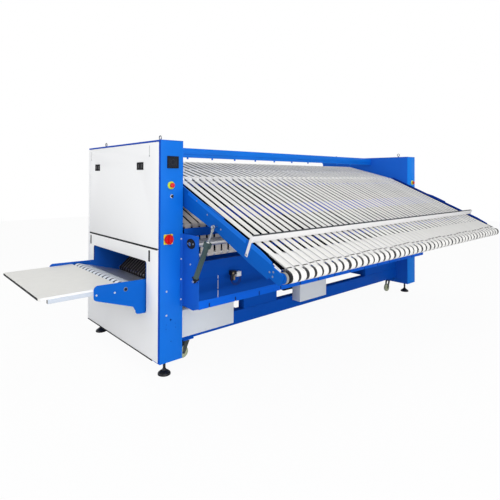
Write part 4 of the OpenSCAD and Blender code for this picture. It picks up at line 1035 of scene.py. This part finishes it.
# Delivery conveyor and shelf: outlines in X and Z
DELIVERY_NOSE = PIVOT["delivery_nose_roller_spin"].xz
NOSE_ROLLER_R = 0.040
TAIL_BAR = Vector((0.330, DELIVERY_NOSE.y - 0.120))
TAIL_R = 0.014
SLIDE_R = 0.024
SLIDE_LOW = Vector((0.285, DELIVERY_NOSE.y - 0.057))
SLIDE_HIGH = SLIDE_LOW + 0.330 * heading(math.radians(40))
TRAY_END = 0.010
TRAY_BACK = 0.070
SHELF_EDGE = 0.0012
SHELF_CORNER = 0.015
SHELF_FROM = SHELF_CORNER + 0.001
BUSH = [(0.0002, 0.0126), (0.0002, 0.017), (0.0025, 0.017), (0.0030, 0.0155), (0.0030, 0.0126)]


def cross_belts(name, node, slot, count, width, wheels):
    lo, hi = span(node)
    pitch = (hi.y - lo.y - width) / (count - 1)
    places = [lo.y + i * pitch for i in range(count)]
    piece(name, [(add_belt, wheels, "y", y, y + width) for y in places], slot, [node])


def delivery_tray():
    """The CAD's tray with its outer end moved in by TRAY_BACK along its slope."""
    bm = drawn([(take, "delivery_bed", 0.0, lambda lo, hi: hi.x - lo.x > 0.3 and lo.x > -0.4)])
    outer = min(v.co.x for v in bm.verts) + TRAY_END
    ends = ([v for v in bm.verts if v.co.x < outer], [v for v in bm.verts if v.co.x >= outer])
    near, far = (sum((v.co for v in end), Vector()) / len(end) for end in ends)
    for vert in ends[0]:
        vert.co += (far - near).normalized() * TRAY_BACK
    piece("delivery_tray", bm, "steel", ["delivery_bed"], "tray_grey")


def shelf():
    lo, hi = span("receiving_shelf")
    # Painted shade: the arms' outer end faces take a darker grey, standing in for the shade in
    # their open ends.
    taken("shelf_arms", "delivery_bed", "steel", 0.0012, material="arm_white",
          pick=lambda low, high: high.x < 0 and high.z <= lo.z + 0.002,
          paints=[("liner_grey", lambda m, n: n.x < -0.6)])
    piece("shelf_board", [(slab, (lo.x + SHELF_EDGE, lo.y + SHELF_EDGE), (hi.x, hi.y - SHELF_EDGE),
                           SHELF_CORNER, "z", lo.z, hi.z, 0.0008)],
          "shelf_white", ["receiving_shelf"])
    z0, z1, edge = lo.z + 0.001, hi.z - 0.001, SHELF_EDGE - OFF
    piece("shelf_outer_edge", [(block, (lo.x, lo.y + SHELF_FROM, z0),
                                (lo.x + edge, hi.y - SHELF_FROM, z1), STRIP_EDGE)],
          "black_plastic", material="rubber")
    piece("shelf_side_edges",
          [(block, (lo.x + SHELF_FROM, y0, z0), (hi.x - SHELF_FROM, y1, z1), STRIP_EDGE)
           for y0, y1 in ((lo.y, lo.y + edge), (hi.y - edge, hi.y))], "white_paint")


def delivery():
    cross_belts("delivery_bands", "delivery_belts", "belt_delivery", 14, 0.046,
                [(DELIVERY_NOSE, NOSE_ROLLER_R), (TAIL_BAR, TAIL_R)])
    low, high = (SLIDE_LOW, SLIDE_R), (SLIDE_HIGH, SLIDE_R)
    cross_belts("discharge_bands", "discharge_belts", "belt_dark", 20, 0.038, [low, high])
    lo, hi = span("discharge_belts")
    slide_sheets("discharge_slide_sheet", "steel", "liner_grey", "y", lo.y, hi.y, 0.003,
                 [(high, low, 0.004, 0.004)])
    taken("near_delivery_plate", "delivery_plates", "blue_paint", 0.0012, material="wing_blue",
          pick=lambda lo, hi: lo.y < 0.5)
    # Painted shade: the far delivery plate takes the darker side blue.
    taken("far_delivery_plate", "delivery_plates", "blue_paint", 0.0012, material="side_shade_blue",
          pick=lambda lo, hi: lo.y > 0.5)
    delivery_tray()
    taken("delivery_bars", "delivery_bed", "steel", pick=lambda lo, hi: hi.x - lo.x < 0.2)
    shelf()
    piece("nose_roller_bushes",
          [(lathe, BUSH, axis, (DELIVERY_NOSE.x, y, DELIVERY_NOSE.y), 24, True)
           for y, axis in WING_Y], "steel", material="dark_steel")


# Controls
SCREEN_RIM = 0.008
SCREEN_DOWN = 0.0018
GLASS_UP = 0.0010
FIGURE_RING = [(0, 0.0190), (0, 0.0212), (0.0003, 0.0212), (0.0003, 0.0190)]
FIGURE_APART = 0.030
STOP_R = 0.031
STOP_COLLAR = [(0, 0.0123), (0, STOP_R), (0.007, STOP_R), (0.0105, STOP_R - 0.002),
               (0.012, STOP_R - 0.006), (0.012, 0.0123)]
STOP_HEAD = [(0.015, 0.0118), (0.015, 0.0170), (0.0135, 0.0192), (0.010, 0.0200),
             (0.005, 0.0196), (0.0015, 0.0160), (0, 0.0100), (0, 0)]
SWITCH_HALF = 0.039
GRIPS = 10
SELECTOR_RING = [(0, 0.0093), (0, 0.0150), (0.0028, 0.0150), (0.0040, 0.0138), (0.0040, 0.0093)]
SELECTOR_BASE = [(0, 0.0088), (0.0095, 0.0088), (0.010, 0.0082)]


def middle_of(node):
    lo, hi = span(node)
    return (lo.x + hi.x) / 2, (lo.z + hi.z) / 2


def touch_screen():
    lo, hi = span("touch_screen")
    x, z = middle_of("touch_screen")
    back, face = lo.y + SCREEN_DOWN, lo.y + GLASS_UP
    piece("screen_bezel", [(cup, lo.xz, hi.xz, 0.004, SCREEN_RIM, "y", lo.y, hi.y - OFF, back)],
          "screen", ["touch_screen"], "rubber")
    inset = Vector((1, 1)) * (SCREEN_RIM + 0.0005)
    piece("screen_glass",
          [(prism, rounded(lo.xz + inset, hi.xz - inset, 0.002), "y", face, back)], "screen")
    bars = [(block, (at - 0.001, lo.y + 0.0007, z - 0.028), (at + 0.001, face, z + 0.028))
            for at in (x - FIGURE_APART, x + FIGURE_APART)]
    piece("screen_figures", [(lathe, FIGURE_RING, "-y", (x, face, z), 40, True)] + bars, "screen",
          material="lip_grey")


def stop_buttons():
    for side, replaces in (("left", ["control_backplates"]), ("right", [])):
        button = side + "_stop_button"
        lo, hi = span(button)
        x, z = middle_of(button)
        head = [(-hi.y, 0.0118)] + [(-lo.y - down, r) for down, r in STOP_HEAD]
        piece(side + "_stop_mushroom", [(lathe, head, "-y", (x, 0, z), 48)], "red_plastic",
              [button], body=button)
        piece(side + "_stop_collar", [(lathe, STOP_COLLAR, "-y", (x, 0, z), 48, True)],
              "yellow_plastic", replaces, "stop_green")


def switches():
    x, z = middle_of("main_switch_knob")
    piece("switch_plate",
          [(cup, (x - SWITCH_HALF, z - SWITCH_HALF), (x + SWITCH_HALF, z + SWITCH_HALF), 0.006,
            0.035, "y", -0.008, 0.0, -OFF)], "yellow_plastic", ["control_backplates"])
    rim = [Vector((x, z)) + (0.0382 + 0.0007 * math.cos(GRIPS * a)) * heading(a)
           for a in turns(GRIPS * 8)]
    bm = bmesh.new()
    soften(bm, prism(bm, rim, "y", -0.0215, -0.0085)[:2], 0.0012)
    slab(bm, (x - 0.008, z - 0.0365), (x + 0.008, z + 0.0365), 0.006, "y", -0.038, -0.0210, 0.0018)
    lathe(bm, [(0.001, 0.0078), (0.009, 0.0078)], "-y", (x, 0, z), 24)
    piece("switch_handle", bm, "red_plastic", ["main_switch_knob"], body="main_switch_knob")
    x, z = middle_of("selector_knob")
    piece("selector_ring", [(lathe, SELECTOR_RING, "-y", (x, 0, z), 36, True)], "steel",
          material="arm_white")
    piece("selector_lever",
          [(lathe, SELECTOR_BASE, "-y", (x, 0, z), 28),
           (slab, (x - 0.004, z - 0.012), (x + 0.004, z + 0.012), 0.0035, "y", -0.020, -0.0096,
            0.0012)], "black_plastic", ["selector_knob"], body="selector_knob")


# Air preparation unit with its hoses, drawn from its head's lower corner
BOWL = [(0, 0.013), (0.004, 0.0155), (0.036, 0.016), (0.040, 0.0135), (0.051, 0.0135)]
REGULATOR = [(0, 0.006), (0.003, 0.010), (0.034, 0.010), (0.036, 0.008), (0.050, 0.008)]
GAUGE = [(0, 0.0095), (0.003, 0.0095), (0.004, 0.0085)]
HEAD_H = 0.040
UNIT_Y = 0.0217
HANG = 0.050
HOSE_X, HOSE_Y, HOSE_Z = 0.058, 0.036, 0.044
HOSE_LOOPS = ((0.055, 0.0, 0.0), (0.047, 0.004, 0.008))


def air_unit():
    lo, hi = span("air_unit")
    x, z, back = lo.x, hi.z - HEAD_H, hi.y - 0.0003
    piece("air_filter",
          [(block, (x + 0.002, lo.y, z), (x + 0.034, back, hi.z), 0.003),
           (block, (x + 0.036, lo.y + 0.002, z + 0.004), (x + 0.0615, back, hi.z - 0.004), 0.003),
           (lathe, BOWL, "z", (x + 0.018, back - UNIT_Y, z - HANG), 28)],
          "black_plastic", ["air_unit"])
    piece("air_regulator", [(lathe, REGULATOR, "z", (x + 0.046, back - UNIT_Y, z - HANG), 24),
                            (lathe, GAUGE, "-y", (x + 0.018, lo.y, z + 0.020), 24)],
          "steel", material="brass")
    y = lo.y + 0.002
    piece("valve_box",
          [(block, (x + 0.0625, y, z - 0.020), (hi.x - 0.001, back, z + 0.024), 0.002),
           (block, (x + 0.070, lo.y + 0.0005, z - 0.012), (hi.x - 0.010, y, z + 0.014), 0.0005)],
          "white_paint")
    hoses = []
    for wide, up, inward in HOSE_LOOPS:
        low = z - HOSE_Z + up
        falls = [z + 0.002 - 0.010 * i for i in range(6)]
        path = [(-wide, height) for height in falls if height > low + 0.004]
        path += [(wide * math.cos(a), low + 0.9 * wide * math.sin(a))
                 for a in (math.pi + math.pi * i / 16 for i in range(17))]
        path += [(wide, low + 0.012 * i) for i in range(1, 4)]
        hoses.append((tube, [Vector((x + HOSE_X + across, back - HOSE_Y + inward, height))
                             for across, height in path], 0.0024, 8))
    piece("air_hoses", hoses, "black_plastic", material="hose_blue")


# Motors with their cooling ribs
MOTOR_AT = yz("motor_pulley_spin")
MOTOR_FLANGE = [(0, 0.0121), (0, 0.082), (0.012, 0.082), (0.014, 0.080), (0.014, 0.0121)]
MOTOR_NECK = [(0.014, 0.066), (0.0445, 0.066)]
MOTOR_X = (TOWER_T + 0.0445, TOWER_T + 0.204)
MOTOR_HOOD = [(0.204, 0.058), (0.206, 0.062), (0.232, 0.062), (0.234, 0.058)]
BELT_MOTOR_AT = Vector((0.330, 0.405))
BELT_MOTOR_X = (1.710, 1.940)
RIBS_EACH = 12


def ribbed(bm, x0, x1, centre, radius):
    """A motor's round body with cooling ribs between two smooth ends."""
    pitch = (x1 - x0 - 0.04) / RIBS_EACH
    low = radius - 0.008
    profile = [(x0, radius - 0.006), (x0 + 0.006, radius), (x0 + 0.018, radius)]
    for i in range(RIBS_EACH):
        start = x0 + 0.02 + i * pitch
        profile += [(start, low), (start + pitch * 0.5, low), (start + pitch * 0.5, radius),
                    (start + pitch * 0.98, radius)]
    profile += [(x1 - 0.018, radius), (x1 - 0.006, radius), (x1, low)]
    lathe(bm, profile, "x", (0, *centre), 44)


def motors():
    at = (TOWER_T, *MOTOR_AT)
    piece("motor_bodies",
          [(lathe, MOTOR_FLANGE, "x", at, 44, True), (lathe, MOTOR_NECK, "x", at, 44),
           (lathe, MOTOR_HOOD, "x", at, 44), (ribbed, *MOTOR_X, MOTOR_AT, 0.070),
           (ribbed, *BELT_MOTOR_X, BELT_MOTOR_AT, 0.062),
           (block, (BELT_MOTOR_X[0] + 0.085, 0.163, BELT_MOTOR_AT.y + 0.045),
            (BELT_MOTOR_X[0] + 0.145, BELT_MOTOR_AT.x + 0.030, STEP_Z - 0.188), 0.002)],
          "black_metal", ["drive_motors"])


# Camera, floor and light
CAMERA_AT = (-3.2867, -3.0855, 1.5865)
CAMERA_YAW = 0.7243
CAMERA_PITCH = 0.0122
CAMERA_ROLL = 0.0039
CAMERA_LENS = 30.57
CAMERA_SHIFT = (0.0027, -0.1555)
FLOOR_HALF = 14.0
FLOOR_T = 0.02
FLOOR_GLOW = 0.95
LAMPS = (("key", (-3.2, -7.0, 4.6), (0, 0, 0.9), (6.0, 4.0), 250),
         ("side", (-7.0, 1.6, 3.4), (-1.6, 0.3, 1.0), (4.0, 3.0), 110),
         ("top", (0.5, -0.8, 7.0), (0.3, -0.2, 0.8), (7.0, 5.0), 90),
         ("fill", (-0.6, -6.5, 0.7), (0.2, 0, 0.6), (8.0, 1.2), 110),
         ("inner", (0.40, -0.10, 1.40), (0.40, -0.16, 1.20), (3.3, 0.26), 3.0))


def camera():
    data = bpy.data.cameras.new("camera")
    data.sensor_width = 36.0
    data.lens = CAMERA_LENS
    data.shift_x, data.shift_y = CAMERA_SHIFT
    obj = bpy.data.objects.new("camera", data)
    bpy.context.scene.collection.objects.link(obj)
    turn = (Matrix.Rotation(-CAMERA_YAW, 4, "Z")
            @ Matrix.Rotation(math.pi / 2 + CAMERA_PITCH, 4, "X")
            @ Matrix.Rotation(CAMERA_ROLL, 4, "Z"))
    obj.matrix_world = Matrix.Translation(CAMERA_AT) @ turn
    bpy.context.scene.camera = obj


def world():
    """Soft light from all round, where camera, mirror and glass rays meet plain white."""
    made = bpy.data.worlds.new("world")
    bpy.context.scene.world = made
    made.use_nodes = True
    tree = made.node_tree
    soft = tree.nodes["Background"]
    feed(tree, soft, {"Color": (0.95, 0.97, 1.0, 1), "Strength": 0.45})
    rays = add(tree, "LightPath")
    seen = rays["Is Camera Ray"]
    for ray in ("Is Glossy Ray", "Is Transmission Ray"):
        seen = add(tree, "Math", {0: seen, 1: rays[ray]}, operation="MAXIMUM")["Value"]
    white = add(tree, "Background", {"Color": (1, 1, 1, 1), "Strength": 1.0})["Background"]
    either = add(tree, "MixShader", {0: seen, 1: soft.outputs["Background"], 2: white})["Shader"]
    feed(tree, tree.nodes["World Output"], {"Surface": either})


def floor():
    """A pale floor that the camera sees as nearly white, with the object's shadow on it."""
    bm = drawn([(block, (-FLOOR_HALF, -FLOOR_HALF, -FLOOR_T), (FLOOR_HALF, FLOOR_HALF, 0.0))])
    tree, shader = principled("floor", 0.8, specular=0.1)
    feed(tree, shader, {"Base Color": ramp(tree, noise(tree, 1.3), 0.84, 0.86)})
    lit = shader.outputs["BSDF"]
    glow = add(tree, "Emission")["Emission"]
    pale = add(tree, "MixShader", {0: FLOOR_GLOW, 1: lit, 2: glow})["Shader"]
    seen = add(tree, "LightPath")["Is Camera Ray"]
    shown = add(tree, "MixShader", {0: seen, 1: lit, 2: pale})["Shader"]
    feed(tree, tree.nodes["Material Output"], {"Surface": shown})
    object_of("floor", bm, ["floor"])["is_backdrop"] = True


def light():
    for name, at, aim, size, power in LAMPS:
        data = bpy.data.lights.new(name, "AREA")
        data.shape = "RECTANGLE"
        data.size, data.size_y = size
        data.energy = power
        obj = bpy.data.objects.new(name, data)
        obj.visible_camera = False
        obj.visible_glossy = name != "inner"
        bpy.context.scene.collection.objects.link(obj)
        turn = (Vector(at) - Vector(aim)).to_track_quat("Z", "Y").to_matrix().to_4x4()
        obj.matrix_world = Matrix.Translation(at) @ turn


for make in (camera, floor, world, light, dress_frame, towers, side_panels, latches,
             between_towers, bearings, fasteners, belts, side_plates, table_floor, table_fittings,
             cylinders, delivery, touch_screen, stop_buttons, switches, air_unit, motors):
    make()
bpy.context.scene.view_settings.view_transform = "Standard"

made_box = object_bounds()
[[list(corner) for corner in box] for box in (cad_box, made_box)]
